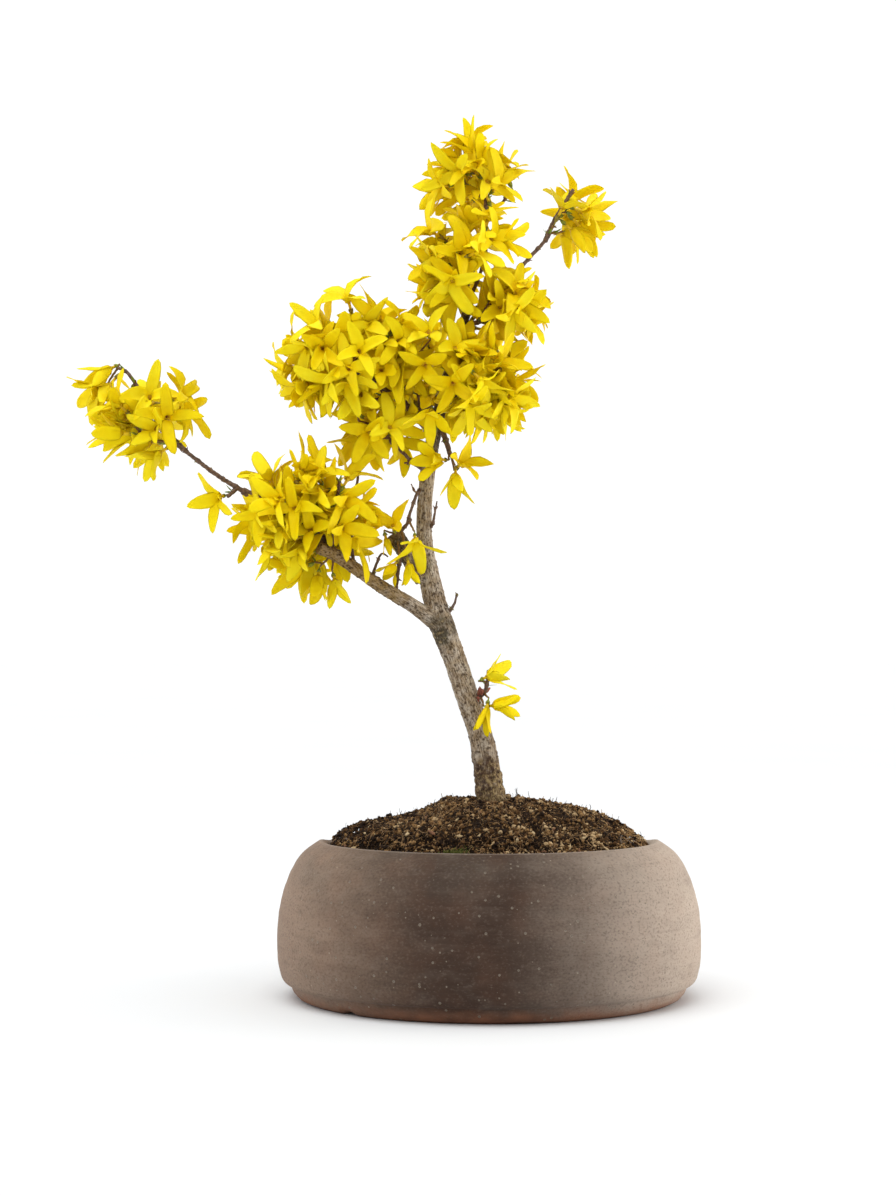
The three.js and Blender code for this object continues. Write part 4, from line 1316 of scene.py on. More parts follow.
@dataclass(frozen=True)
class Bark:
    """Weathered bark: grey-brown and matt, with dark streaks along the limb and brown lenticels.

    It carries painted shade in the fork, on the cut stub and among the crown, is ochre over the places of
    bough, and is dirty near the foot. The soiling turns reddish down the heights of reddish, and golden down
    those of golden and along the places of golden_side, and is mostly a dark olive-brown where it stands for
    painted shade. The mesh stores where each point lies across and along its limb, how deep a streak is,
    where a lenticel sits, and in one mask how dirty the bark is together with its painted shade. The real
    grain is about half a millimetre wide, and is drawn coarser so that it shows.
    """

    name: str = "weathered_bark"
    pale: str = "#c0b3a1"
    warm: str = "#a08b6f"
    streak: str = "#66523d"
    speck: str = "#3d2e22"
    # dirt is the reddish soiling low on the foot, and grime the dark colour of the painted shade in the fork,
    # on the cut stub and among the crown.
    dirt_and_shade: str = "#422817"
    grime_and_shade: str = "#35301f"
    moss: str = "#a48c60"
    ochre: str = "#927646"
    grain: float = 0.66
    line: float = 0.5
    bough: tuple = (-34, -50)
    golden: tuple = (117, 99)
    golden_side: tuple = (-6, 8)
    reddish: tuple = (150, 130)
    relief: float = 0.25
    roughness: float = 0.88
    gloss: float = 0.25

    def build(self) -> Finish:
        """Make the material."""
        material, shader, tree = start_finish(self.name, self.roughness, self.gloss)
        place = add_node(tree, "Attribute", attribute_name="bark").outputs["Vector"]
        streak, lenticel, dirt_and_shade = (add_node(tree, "Attribute", attribute_name=key).outputs["Fac"]
                                  for key in ("streak", "lenticel", "dirt_and_shade"))
        where = add_node(tree, "TexCoord").outputs["Object"]
        where = add_node(tree, "SeparateXYZ", {"Vector": where}).outputs
        lines = patches(tree, self.line, 2, (1, 1, 0.13), place)
        grain = patches(tree, self.grain, 3, (1, 1, 0.5), place)
        ochre = shift(tree, patches(tree, 6), where["X"], self.bough, "MULTIPLY")
        gold = shift(tree, patches(tree, 1.9, 4), where["Z"], self.golden, "ADD", 0.14)
        gold = shift(tree, gold, where["X"], self.golden_side, "ADD", 0.12)
        upper, lower = self.reddish
        # The colour laid over the dirty and shaded places: dark grime for the painted shade, reddish low on
        # the foot, with golden patches.
        dirt_and_shade_tone = lay_all(tree, self.grime_and_shade, (self.dirt_and_shade, where["Z"], upper * MM, lower * MM),
                         (self.moss, gold, 0.54, 0.76))
        tone = lay_all(
            tree, self.pale, (self.warm, patches(tree, 5), 0.38, 0.62), (self.streak, streak),
            (self.streak, lines, 0.48, 0.62, 0.75), (self.pale, lines, 0.45, 0.3, 0.6),
            # Then ochre over the bough, and over the dirty and shaded places the soiling and painted shade.
            (self.ochre, ochre, 0.2, 0.5, 0.85), (dirt_and_shade_tone, dirt_and_shade),
            (self.speck, grain, 0.54, 0.62, 0.75), (self.pale, grain, 0.42, 0.3, 0.4), (self.speck, lenticel))
        tree.links.new(tone, shader.inputs["Base Color"])
        inputs = {"Height": grain, "Distance": self.relief * MM}
        tree.links.new(add_node(tree, "Bump", inputs, invert=True).outputs["Normal"], shader.inputs["Normal"])
        return material


# Camera, lights and floor


@dataclass
class Studio:
    """A plain pale floor in a white tent of soft light, and the camera at the photograph's viewing angle.

    The tent is darker on the camera's side, where it is open, and the camera sees it pure white. A light has
    its name, its type, its place, its power in watts or for a sun in watts a square metre, its colour, and
    its size in metres or for a sun its angle. The lights face the middle of the plant.
    """

    camera_place: tuple = (-20.3, -1200, 170.4)
    camera_aim: tuple = (-20.3, 0, 196.9)
    focal_pixels: float = 2417
    image_height: float = 1195
    sensor: float = 36
    clip: tuple = (0.05, 100)
    floor_size: float = 60000
    plant_middle: float = 200
    lights: tuple = (
        ("overhead", "SUN", (-300, -560, 1500), 2.0, "#fffcf6", {"angle": math.radians(60)}),
        ("right", "AREA", (850, 60, 230), 3.8, "#fff6ec", {"size": 0.6}),
        ("left", "AREA", (-900, 120, 260), 0.9, "#f6f8ff", {"size": 0.6}),
    )
    tent_front: float = 0.35
    tent_round: float = 0.95
    tent_seen: float = 1.1

    def build(self) -> None:
        """Set up everything that isn't part of the plant."""
        self.build_camera()
        self.build_floor()
        self.build_tent()
        self.build_lights()

    def build_camera(self) -> None:
        """Place the camera. Its sensor is the image's long side, and the focal length is known in pixels."""
        camera = bpy.data.cameras.new("camera")
        camera.sensor_width = self.sensor
        camera.lens = self.focal_pixels / self.image_height * self.sensor
        camera.clip_start, camera.clip_end = self.clip
        holder = bpy.data.objects.new("camera", camera)
        bpy.context.scene.collection.objects.link(holder)
        place, aim = Vector(self.camera_place) * MM, Vector(self.camera_aim) * MM
        holder.location = place
        holder.rotation_euler = (aim - place).to_track_quat("-Z", "Y").to_euler()
        bpy.context.scene.camera = holder

    def build_floor(self) -> None:
        """Lay the floor under the pot: white background paper, matt and nearly even."""
        floor = start(bpy.ops.mesh.primitive_plane_add, "floor", size=self.floor_size * MM)
        paper = Mottled("background_paper", "#e2e5e9", "#e4e7eb", 400, 0.9, 0.01, 0.2)
        floor.data.materials.append(paper.build())

    def build_tent(self) -> None:
        """Light everything softly from all round, least from the front."""
        world = bpy.data.worlds.new("tent")
        world.use_nodes = True
        tree = world.node_tree
        way = add_node(tree, "TexCoord").outputs["Generated"]
        back = add_node(tree, "SeparateXYZ", {"Vector": way}).outputs["Y"]
        inputs = {"Value": back, "From Min": -0.8, "From Max": 0.3, "To Min": self.tent_front,
                  "To Max": self.tent_round}
        glow = add_node(tree, "MapRange", inputs).outputs["Result"]
        seen = add_node(tree, "LightPath").outputs["Is Camera Ray"]
        inputs = {"Value": seen, "To Max": self.tent_seen}
        white = add_node(tree, "MapRange", inputs).outputs["Result"]
        strength = add_node(tree, "Math", {0: glow, 1: white}, operation="MAXIMUM").outputs[0]
        background = tree.nodes["Background"]
        background.inputs["Color"].default_value = linear("#ffffff")
        tree.links.new(strength, background.inputs["Strength"])
        bpy.context.scene.world = world
        bpy.context.scene.view_settings.view_transform = "Standard"

    def build_lights(self) -> None:
        """Hang the lights."""
        for name, kind, place, power, colour, size in self.lights:
            lamp = bpy.data.lights.new(name, kind)
            lamp.energy = power
            lamp.color = linear(colour)[:3]
            for key, value in size.items():
                setattr(lamp, key, value)
            holder = bpy.data.objects.new(name, lamp)
            bpy.context.scene.collection.objects.link(holder)
            holder.location = Vector(place) * MM
            way = Vector((0, 0, self.plant_middle * MM)) - holder.location
            holder.rotation_euler = way.to_track_quat("-Z", "Y").to_euler()


# Pot


@dataclass
class Pot:
    """A thrown bowl with a foot band, a rounded shoulder and a thick lip.

    The outlines are points as (radius, height). turning is the height of the turned lines, and sway how far
    out of round the bowl is, which both set in over outer and over foot_rise. notch is a nick in the foot
    outside of notch_from, as its angle, half width and height, which ends at notch_top. The lip falls by dip
    towards the back, over dip_reach, and all of that sets in over the heights dip_from.
    """

    foot: tuple = ((0, 0), (92, 0), (94.6, 1.2), (96.9, 3.6), (98.2, 6.6))
    wall: tuple = ((98.7, 7.6), (101.6, 8.9), (103.4, 13), (104.7, 22), (104.4, 38), (102.1, 51),
                   (97.6, 63), (92.4, 70.5), (86.2, 75.3))
    lip: tuple = ((84.9, 76.1), (83.9, 76.75), (83.1, 76.85), (82.2, 76.6), (80.4, 75.7), (79.7, 75.1))
    inside: tuple = ((79.3, 74), (84, 70.4), (92.2, 61), (98.1, 40), (97.2, 20), (91, 9.5), (85, 8), (0, 8))
    wall_steps: int = 7
    turns: int = 288
    turning: float = 0.16
    turning_gap: float = 3.4
    sway: float = 0.35
    outer: tuple = (93, 96)
    foot_rise: float = 3
    notch: tuple = (-2.36, 0.05, 1.6)
    notch_from: float = 88
    notch_top: float = 6
    dip: float = 2
    dip_reach: float = 28
    dip_from: tuple = (60, 74)
    crease: float = 50

    def outline(self) -> Array:
        """Return the outline from the middle of the underside, out, up, over the lip and down inside."""
        wall = smooth(self.wall, self.wall_steps)
        inside = smooth(self.inside[:-2], 4)
        return np.concatenate([np.array(self.foot, float), wall, np.array(self.lip), inside,
                               np.array(self.inside[-1:], float)])

    def turn_relief(self, corners: Array) -> Array:
        """Add turned lines, a slight sway and the nick in the foot to the outer wall."""
        radius = np.hypot(corners[:, 0], corners[:, 1])
        angle = np.arctan2(corners[:, 1], corners[:, 0])
        height = corners[:, 2]
        outer = ramp(radius, *self.outer) * ramp(height, 0, self.foot_rise)
        lines = np.array([noise.noise(Vector((math.cos(a) * 0.5, math.sin(a) * 0.5, z / self.turning_gap)))
                          for a, z in zip(angle, height)])
        wander = np.sin(2 * angle + 0.7) * 0.6 + np.sin(3 * angle + 2.1) * 0.4
        push = outer * self.turning * lines - outer * self.sway * 0.5 * (1 + wander)
        corners[:, :2] *= (1 + push / np.maximum(radius, 1))[:, None]
        middle, half, rise = self.notch
        near = np.clip(1 - ((angle - middle) / half) ** 2, 0, 1) * np.clip(1 - height / self.notch_top, 0, 1)
        corners[:, 2] += near * rise * (radius > self.notch_from)
        back = ramp(corners[:, 1], 0, self.dip_reach)
        corners[:, 2] -= self.dip * back * back * (3 - 2 * back) * ramp(height, *self.dip_from)
        return corners

    def build(self, finish: Stoneware) -> None:
        """Throw the bowl and dress it in its clay."""
        pot = turn_on_wheel("stoneware_bowl", self.outline(), self.turns)
        set_corners(pot, self.turn_relief(corners_of(pot)) * MM)
        pot.data.materials.append(finish.build())
        bpy.ops.object.shade_smooth_by_angle(angle=math.radians(self.crease))
        settle(pot, Slot.STONEWARE, "pot")


# Soil


@dataclass
class Soil:
    """Crumbly compost, mounded up to the trunk, with crumbs, fibres, seeds and a little moss on it.

    A swell or a hollow is its middle, how far it reaches across and back, and how much it rises. heap is how
    far the compost is banked up against the rim. The bank sets in towards the back over heap_back and
    outwards over heap_out, and loses the share heap_loss on the way to heap_right.
    """

    edge: float = 79
    edge_height: float = 73.5
    rise: float = 23.5
    power: float = 2.2
    seat: float = 93.4
    seat_radius: float = 9
    seat_blend: float = 16
    under: tuple = ((0, 8.3), (84.9, 8.4), (91, 10), (96.9, 20.1), (97.7, 40), (91.9, 60.8), (79, 73.4))
    swells: tuple = ((-40, 0, 13, 30, -4.6), (53, 0, 16, 30, 2.3), (-70, 0, 9, 25, 1.4), (-21, 0, 7, 12, 1.8),
                     (14, 0, 8, 10, 1.2), (-8, -45, 20, 16, 1.2), (30, -52, 12, 12, -1),
                     (-55, -38, 12, 12, 1))
    heap: float = 2.8
    heap_back: tuple = (-2, 12)
    heap_out: tuple = (50, 74)
    heap_loss: float = 0.25
    heap_right: float = 60
    rings: int = 64
    turns: int = 300
    lump: float = 1.9
    lump_size: float = 6
    calm: float = 6
    margin: float = 0.8
    clear: float = 8.5
    patch: float = 9
    dark_left: tuple = (38, 63)
    crumb: tuple = (0.34, 1.3)
    crumbs: int = 8800
    grain: tuple = (0.28, 0.62)
    grains: int = 20000
    tone_shares: tuple = (0.09, 0.38, 0.70)
    fibres: int = 1900
    tangle: tuple = (-30, -22, 12)
    tangled: int = 260
    fibre_steps: int = 5
    seeds: int = 90
    seeds_clear: float = 14
    moss_middle: tuple = (-17, -74)
    moss_spread: tuple = (3.6, 1.6)
    moss_blades: int = 210
    chips: tuple = ((-28, -58), (-15, -60), (-6, -63), (4, -61), (30, -48), (44, -52), (37, -62), (-66, -40),
                    (-70, -30), (20, -57), (12, -68), (55, -52), (-40, -50))
    seed: int = 5

    def height(self, radius: Array) -> Array:
        """Return the smooth mound's height at a radius."""
        mound = self.edge_height + self.rise * (1 - np.clip(radius / self.edge, 0, 1) ** self.power)
        return self.seat + (mound - self.seat) * ramp(radius, self.seat_radius, self.seat_blend)

    def surface(self, x: Array, y: Array) -> Array:
        """Return the lumpy surface's height at points."""
        radius = np.hypot(x, y)
        lumps = np.array([
            noise.fractal(Vector((a / self.lump_size, b / self.lump_size, 3.1)), 0.9, 2.2, 4)
            for a, b in zip(x, y)])
        fade = np.clip((self.edge - radius) / self.calm, 0.1, 1)
        swell = sum(rise * np.exp(-((x - at_x) / wide) ** 2 - ((y - at_y) / deep) ** 2)
                    for at_x, at_y, wide, deep, rise in self.swells)
        back = ramp(y, *self.heap_back) * ramp(radius, *self.heap_out)
        back *= self.heap * (1 - self.heap_loss * ramp(x, 0, self.heap_right))
        return self.height(radius) + (self.lump * lumps + swell) * fade + back

    def build(self) -> None:
        """Make the ground, then all that lies on it."""
        self.draw = np.random.default_rng(self.seed)
        self.build_ground()
        self.build_crumbs()
        self.build_fibres()
        self.build_litter()

    def build_ground(self) -> None:
        """Make the fill of the bowl with its lumpy surface."""
        rim = [self.edge * (1 - i / self.rings) for i in range(self.rings + 1)]
        top = [(radius, float(self.height(np.array(radius)))) for radius in rim]
        ground = turn_on_wheel("compost_ground", [*self.under, *top], self.turns)
        corners = corners_of(ground)
        shown = corners[:, 2] > self.edge_height - 0.05
        corners[shown, 2] = self.surface(corners[shown, 0], corners[shown, 1])
        set_corners(ground, corners * MM)
        compost = Mottled("damp_compost", "#120a05", "#33210f", 1.6, 0.95, 0.5, 0.2)
        ground.data.materials.append(compost.build())
        shade_smooth(ground)
        settle(ground, Slot.SOIL, "soil")

    def scatter_places(self, count: int, clear: float) -> tuple[Array, Array]:
        """Draw places all over the mound, as far from the trunk as clear."""
        radius = np.sqrt(self.draw.uniform(clear ** 2, (self.edge - self.margin) ** 2, count))
        angle = self.draw.uniform(0, 2 * math.pi, count)
        return radius * np.cos(angle), radius * np.sin(angle)

    def tones_at(self, x: Array, y: Array) -> Array:
        """Draw the tone of each crumb, from pale to dark, in patches and darkest at the left."""
        patch = np.array([noise.noise(Vector((a / self.patch, b / self.patch, 7.7))) for a, b in zip(x, y)])
        left = ramp(-x, *self.dark_left)
        drawn = self.draw.random(len(x)) + 0.5 * patch + 0.3 * left
        return np.searchsorted(self.tone_shares, np.clip(drawn, 0, 1))

    def build_crumbs(self) -> None:
        """Cover the mound with rounded crumbs, and with finer grains between them, in four tones."""
        finishes = finishes_of(*((*row, 1.1, 0.95, 0.2, 0.2) for row in (
            ("crumb_pale", "#977c59", "#c4aa82"), ("crumb_tan", "#694d2d", "#987850"),
            ("crumb_brown", "#3b2612", "#5e4326"), ("crumb_dark", "#130a04", "#28170a"))))
        ball, cone = bpy.ops.mesh.primitive_ico_sphere_add, bpy.ops.mesh.primitive_cone_add
        crumbs = [Stamp.lump(ball, 0.42, 0.6, seed, subdivisions=1, radius=1) for seed in (1, 2, 3)]
        grains = [Stamp.lump(cone, 0.3, 0.5, 4, vertices=4, radius1=1, depth=1.5)]
        for name, stamps, total, (least, most), lift in (
                ("compost_crumbs", crumbs, self.crumbs, self.crumb, 0.25),
                ("compost_grains", grains, self.grains, self.grain, 0.5)):
            batch = Batch()
            for stamp in stamps:
                count = total // len(stamps)
                x, y = self.scatter_places(count, self.clear)
                size = least + (most - least) * self.draw.random(count) ** 2.6
                sizes = size[:, None] * self.draw.uniform(0.7, 1.25, (count, 3))
                places = np.stack([x, y, self.surface(x, y) + size * lift], -1)
                batch.scatter(stamp, sizes, random_turns(self.draw, count), places, self.tones_at(x, y))
            settle(batch.build(name, finishes), Slot.SOIL)

    def fibre(self, at: tuple, upright: bool, length: float) -> Array:
        """Draw the line of a rootlet that curls over the mound, or stands up from it."""
        heading = self.draw.uniform(0, 2 * math.pi)
        curl = self.draw.normal(0, 0.5)
        spots = [np.array([*at, 0.0])]
        for _ in range(self.fibre_steps):
            heading += curl + self.draw.normal(0, 0.25)
            flat, rise = (0.35, 0.85) if upright else (1, self.draw.normal(0, 0.06))
            way = np.array([math.cos(heading) * flat, math.sin(heading) * flat, rise])
            spots.append(spots[-1] + way * (length / self.fibre_steps))
        line = np.array(spots)
        reach = np.hypot(line[:, 0], line[:, 1])
        line[:, :2] *= np.minimum(1, (self.edge - 1) / np.maximum(reach, 1))[:, None]
        ground = self.surface(line[:1, 0], line[:1, 1]) if upright else self.surface(line[:, 0], line[:, 1])
        line[:, 2] += ground + 0.5
        return line

    def build_fibres(self) -> None:
        """Strew fine rootlets, some in a tangle and some standing up, and a few thicker ones."""
        finishes = finishes_of(("rootlet_tan", "#7d5f3f", "#b08d62", 2, 0.8),
                               ("rootlet_dark", "#20140b", "#3f2a19", 2, 0.85))
        batch = Batch()
        x, y = self.scatter_places(self.fibres, self.clear)
        middle_x, middle_y, spread = self.tangle
        x[:self.tangled] = self.draw.normal(middle_x, spread, self.tangled)
        y[:self.tangled] = self.draw.normal(middle_y, spread, self.tangled)
        for at in zip(x, y):
            upright = self.draw.random() < 0.1
            length = self.draw.uniform(2, 5.5) if upright else self.draw.uniform(3, 13)
            line = self.fibre(at, upright, length)
            thick = self.draw.uniform(0.07, 0.19) * (1.6 if upright else 1)
            radii = np.linspace(1, 0.5, len(line)) * thick
            batch.add(*tube(line, radii, 3), int(self.draw.random() < (0.9 if upright else 0.3)))
        settle(batch.build("compost_rootlets", finishes), Slot.SOIL)

    def build_litter(self) -> None:
        """Lay seeds, bark chips and husks on the mound, and the moss at the front rim."""
        finishes = finishes_of(("seed_husk", "#8d7450", "#c4ad84", 1.5, 0.7),
                               ("bark_chip", "#5b3a26", "#8f6447", 1.5, 0.85),
                               ("moss", "#363b0a", "#646c18", 0.8, 0.8))
        seed = begin(bpy.ops.mesh.primitive_uv_sphere_add, "seed", segments=8, ring_count=6, radius=1)
        choose(seed, lambda place: place.z > 0.4)
        bpy.ops.transform.resize(value=(0.6, 0.6, 1.15), center_override=(0, 0, 0))
        stamp = Stamp.of(seed)
        x, y = self.scatter_places(self.seeds, self.seeds_clear)
        x[:len(self.chips)], y[:len(self.chips)] = np.array(self.chips, float).T
        size = self.draw.uniform(0.5, 0.95, self.seeds)
        size[:len(self.chips)] = self.draw.uniform(0.95, 1.5, len(self.chips))
        sizes = size[:, None] * np.array([0.75, 0.5, 1.5]) * self.draw.uniform(0.8, 1.3, (self.seeds, 3))
        turns = random_turns(self.draw, self.seeds)
        places = np.stack([x, y, self.surface(x, y) + size * 0.55], -1)
        batch = Batch()
        batch.scatter(stamp, sizes, turns, places, self.draw.choice(2, self.seeds, p=(0.7, 0.3)))
        for _ in range(self.moss_blades):
            spot = np.array(self.moss_middle) + self.draw.normal(size=2) * np.array(self.moss_spread)
            spot *= min(1, (self.edge - 1) / float(np.hypot(*spot)))
            base = np.array([spot[0], spot[1], float(self.surface(spot[:1], spot[1:])[0]) + 0.2])
            lean = np.array([*self.draw.normal(0, 0.5, 2), 1.0])
            line = base + np.outer(np.linspace(0, self.draw.uniform(0.6, 1.4), 3), lean)
            batch.add(*tube(line, np.array([0.22, 0.2, 0.06]), 3), 2)
        settle(batch.build("compost_litter", finishes), Slot.SOIL)


# Wood


@dataclass
class Limbs:
    """Trunk, boughs and branches, fused where they meet, with the bark's relief in the mesh.

    The foot below foot_top is rough and dirty. The crown above crown_from and the scars, at the fork and on
    the cut stub, are rough and carry painted shade, and the stain is painted shade at the front of the fork.
    A scar, and the stain, is its middle and how far it reaches. What ends in blend is over how much they set
    in.
    """

    steps: int = 8
    voxel: float = 0.5
    fissure: float = 0.3
    fissure_width: float = 1.25
    fissure_length: float = 11
    grain: float = 0.12
    grain_width: float = 0.7
    grain_length: float = 1.6
    patch: float = 6
    knob: float = 2.4
    lenticels: int = 620
    lenticel_size: float = 0.62
    lenticel_height: float = 0.28
    foot_top: float = 124
    foot_blend: float = 14
    crown_from: float = 257
    crown_blend: float = 12
    # Painted shade darkens the stain at the front of the fork, the scars at the fork and on the cut stub, and
    # the crown above crown_from.
    fork_shade: tuple = (-25.5, -7, 179, 9)
    fork_shade_blend: float = 5
    shaded_scars: tuple = ((-24, 0, 184, 11), (-29.5, -3, 178.5, 7), (-44, 1, 224, 10), (-36, 0, 212, 8))
    shaded_scar_blend: float = 6
    skin: float = 0.12
    seed: int = 23

    def build(self, bark: Bark) -> None:
        """Make the heavy limbs and dress them."""
        self.draw = np.random.default_rng(self.seed)
        parts = [self.limb_curve(name, LIMBS[name].route, LIMBS[name].radius) for name in HEAVY_LIMBS]
        bpy.ops.object.select_all(action="DESELECT")
        for part in parts:
            part.select_set(True)
        bpy.context.view_layer.objects.active = parts[0]
        bpy.ops.object.convert(target="MESH")
        bpy.ops.object.join()
        wood = bpy.context.active_object
        wood.name = "bark_limbs"
        remesh = wood.modifiers.new("fuse", "REMESH")
        remesh.mode = "VOXEL"
        remesh.voxel_size = self.voxel * MM
        blend = wood.modifiers.new("blend", "SMOOTH")
        blend.factor, blend.iterations = 0.5, 8
        apply_modifiers(wood)
        wood.data.materials.clear()
        self.add_relief(wood)
        wood.data.materials.append(bark.build())
        shade_smooth(wood)
        settle(wood, Slot.BARK, *HEAVY_LIMBS)

    def limb_curve(self, name: str, route: tuple, radius: tuple) -> Shape:
        """Draw a limb as a round curve with its own radius at each point."""
        line, radii = smooth(route, self.steps), spread_over(radius, self.steps)
        curve = bpy.data.curves.new(name, "CURVE")
        curve.dimensions = "3D"
        curve.bevel_depth = MM
        curve.bevel_resolution = 6
        curve.use_fill_caps = True
        spline = curve.splines.new("POLY")
        spline.points.add(len(line) - 1)
        for point, place, size in zip(spline.points, line, radii):
            point.co = (*(place * MM), 1)
            point.radius = size + self.skin
        limb = bpy.data.objects.new(name, curve)
        bpy.context.scene.collection.objects.link(limb)
        return limb

    def bark_frame(self, corners: Array) -> tuple[Array, Array]:
        """Find where each corner lies on the limbs.

        Args:
            corners: The corners, in millimetres.

        Returns:
            Coordinates across, across and along the nearest limb, and the way out from its middle.
        """
        lines, radii, us, vs, lengths = [], [], [], [], []
        for number, name in enumerate(HEAVY_LIMBS):
            line = smooth(LIMBS[name].route, self.steps * 2)
            directions = unit(np.gradient(line, axis=0))
            u = frame_of(directions[0])[0]
            for direction in directions:
                u = unit(u - direction * u.dot(direction))
                us.append(u)
                vs.append(np.cross(direction, u))
            steps = np.linalg.norm(np.diff(line, axis=0), axis=1)
            lengths.append(np.concatenate([[0], np.cumsum(steps)]) + 500 * number)
            lines.append(line)
            radii.append(spread_over(LIMBS[name].radius, self.steps * 2))
        line, radius = np.concatenate(lines), np.concatenate(radii)
        u, v, length = np.array(us), np.array(vs), np.concatenate(lengths)
        nearest = np.concatenate([
            np.argmin(np.linalg.norm(part[:, None] - line, axis=2) - radius, axis=1)
            for part in np.array_split(corners, max(1, len(corners) // 2000))])
        offset = corners - line[nearest]
        across = np.stack([(offset * u[nearest]).sum(1), (offset * v[nearest]).sum(1)], -1)
        along = length[nearest] + (offset * np.cross(u[nearest], v[nearest])).sum(1)
        out = across[:, :1] * u[nearest] + across[:, 1:] * v[nearest]
        return np.column_stack([across, along]), out / np.maximum(np.linalg.norm(out, axis=1), 0.5)[:, None]

    def add_relief(self, wood: Shape) -> None:
        """Work fissures, grain and lenticels into the bark, and store where they are."""
        corners = corners_of(wood) / MM
        bark, out = self.bark_frame(corners)
        wide, long = self.fissure_width, self.fissure_length
        streak = np.array([noise.fractal(Vector((a / wide, b / wide, s / long)), 0.8, 2.1, 3)
                           for a, b, s in bark])
        wide, long = self.grain_width, self.grain_length
        grain = np.array([noise.noise(Vector((a / wide, b / wide, s / long))) for a, b, s in bark])
        push = self.fissure * np.clip(streak, -0.8, 0.6) + self.grain * grain
        count = len(corners)
        middles = corners[self.draw.choice(count, self.lenticels, replace=False)]
        lenticel = np.zeros(count)
        for middle in middles:
            size = self.lenticel_size * self.draw.uniform(0.6, 1.35)
            box = np.flatnonzero(np.abs(corners - middle).max(1) < 2 * size)
            gap = np.linalg.norm((corners[box] - middle) * np.array([1, 1, 1.25]), axis=1)
            lenticel[box] = np.maximum(lenticel[box], np.clip(1.35 - gap / size, 0, 1))
        push += self.lenticel_height * lenticel
        patches = np.array([noise.fractal(Vector(corner / self.patch), 1, 2, 3) for corner in corners])
        knobs = np.array([noise.noise(Vector(corner / self.knob)) for corner in corners])
        foot = np.clip((self.foot_top - corners[:, 2]) / self.foot_blend + patches * 0.9, 0, 1)
        # The crown and the scars are rough, and carry painted shade through the dirt mask.
        shaded_scar = np.clip((corners[:, 2] - self.crown_from) / self.crown_blend + patches * 0.6, 0, 1)
        for x, y, z, reach in self.shaded_scars:
            gap = np.linalg.norm(corners - np.array([x, y, z]), axis=1)
            shaded_scar = np.maximum(shaded_scar, np.clip((reach - gap) / self.shaded_scar_blend + patches * 0.8, 0, 1))
        shaded_scar *= 0.75
        push += (0.35 * shaded_scar + 0.3 * foot) * grain + (0.15 + 0.75 * foot + 0.25 * shaded_scar) * knobs
        rise = np.clip((corners[:, 2] - LIMBS["trunk"].route[0][2]) / 1.5, 0, 1)
        set_corners(wood, (corners + out * (push * rise)[:, None]) * MM)
        set_attribute(wood, "bark", bark)
        set_attribute(wood, "streak", np.clip(-streak * 1.1 - 0.05, 0, 0.6))
        set_attribute(wood, "lenticel", np.clip(lenticel * 1.3, 0, 0.85))
        # The dirt mask holds soiling at the foot, and painted shade at the fork, on the cut stub and among
        # the crown.
        x, y, z, reach = self.fork_shade
        gap = np.linalg.norm(corners - np.array([x, y, z]), axis=1)
        fork_shade = np.clip((reach - gap) / self.fork_shade_blend + patches * 0.8 + knobs * 0.4, 0, 1)
        set_attribute(wood, "dirt_and_shade", np.clip(np.maximum.reduce([foot, 1.1 * shaded_scar, fork_shade]), 0, 0.88))


# Blossom


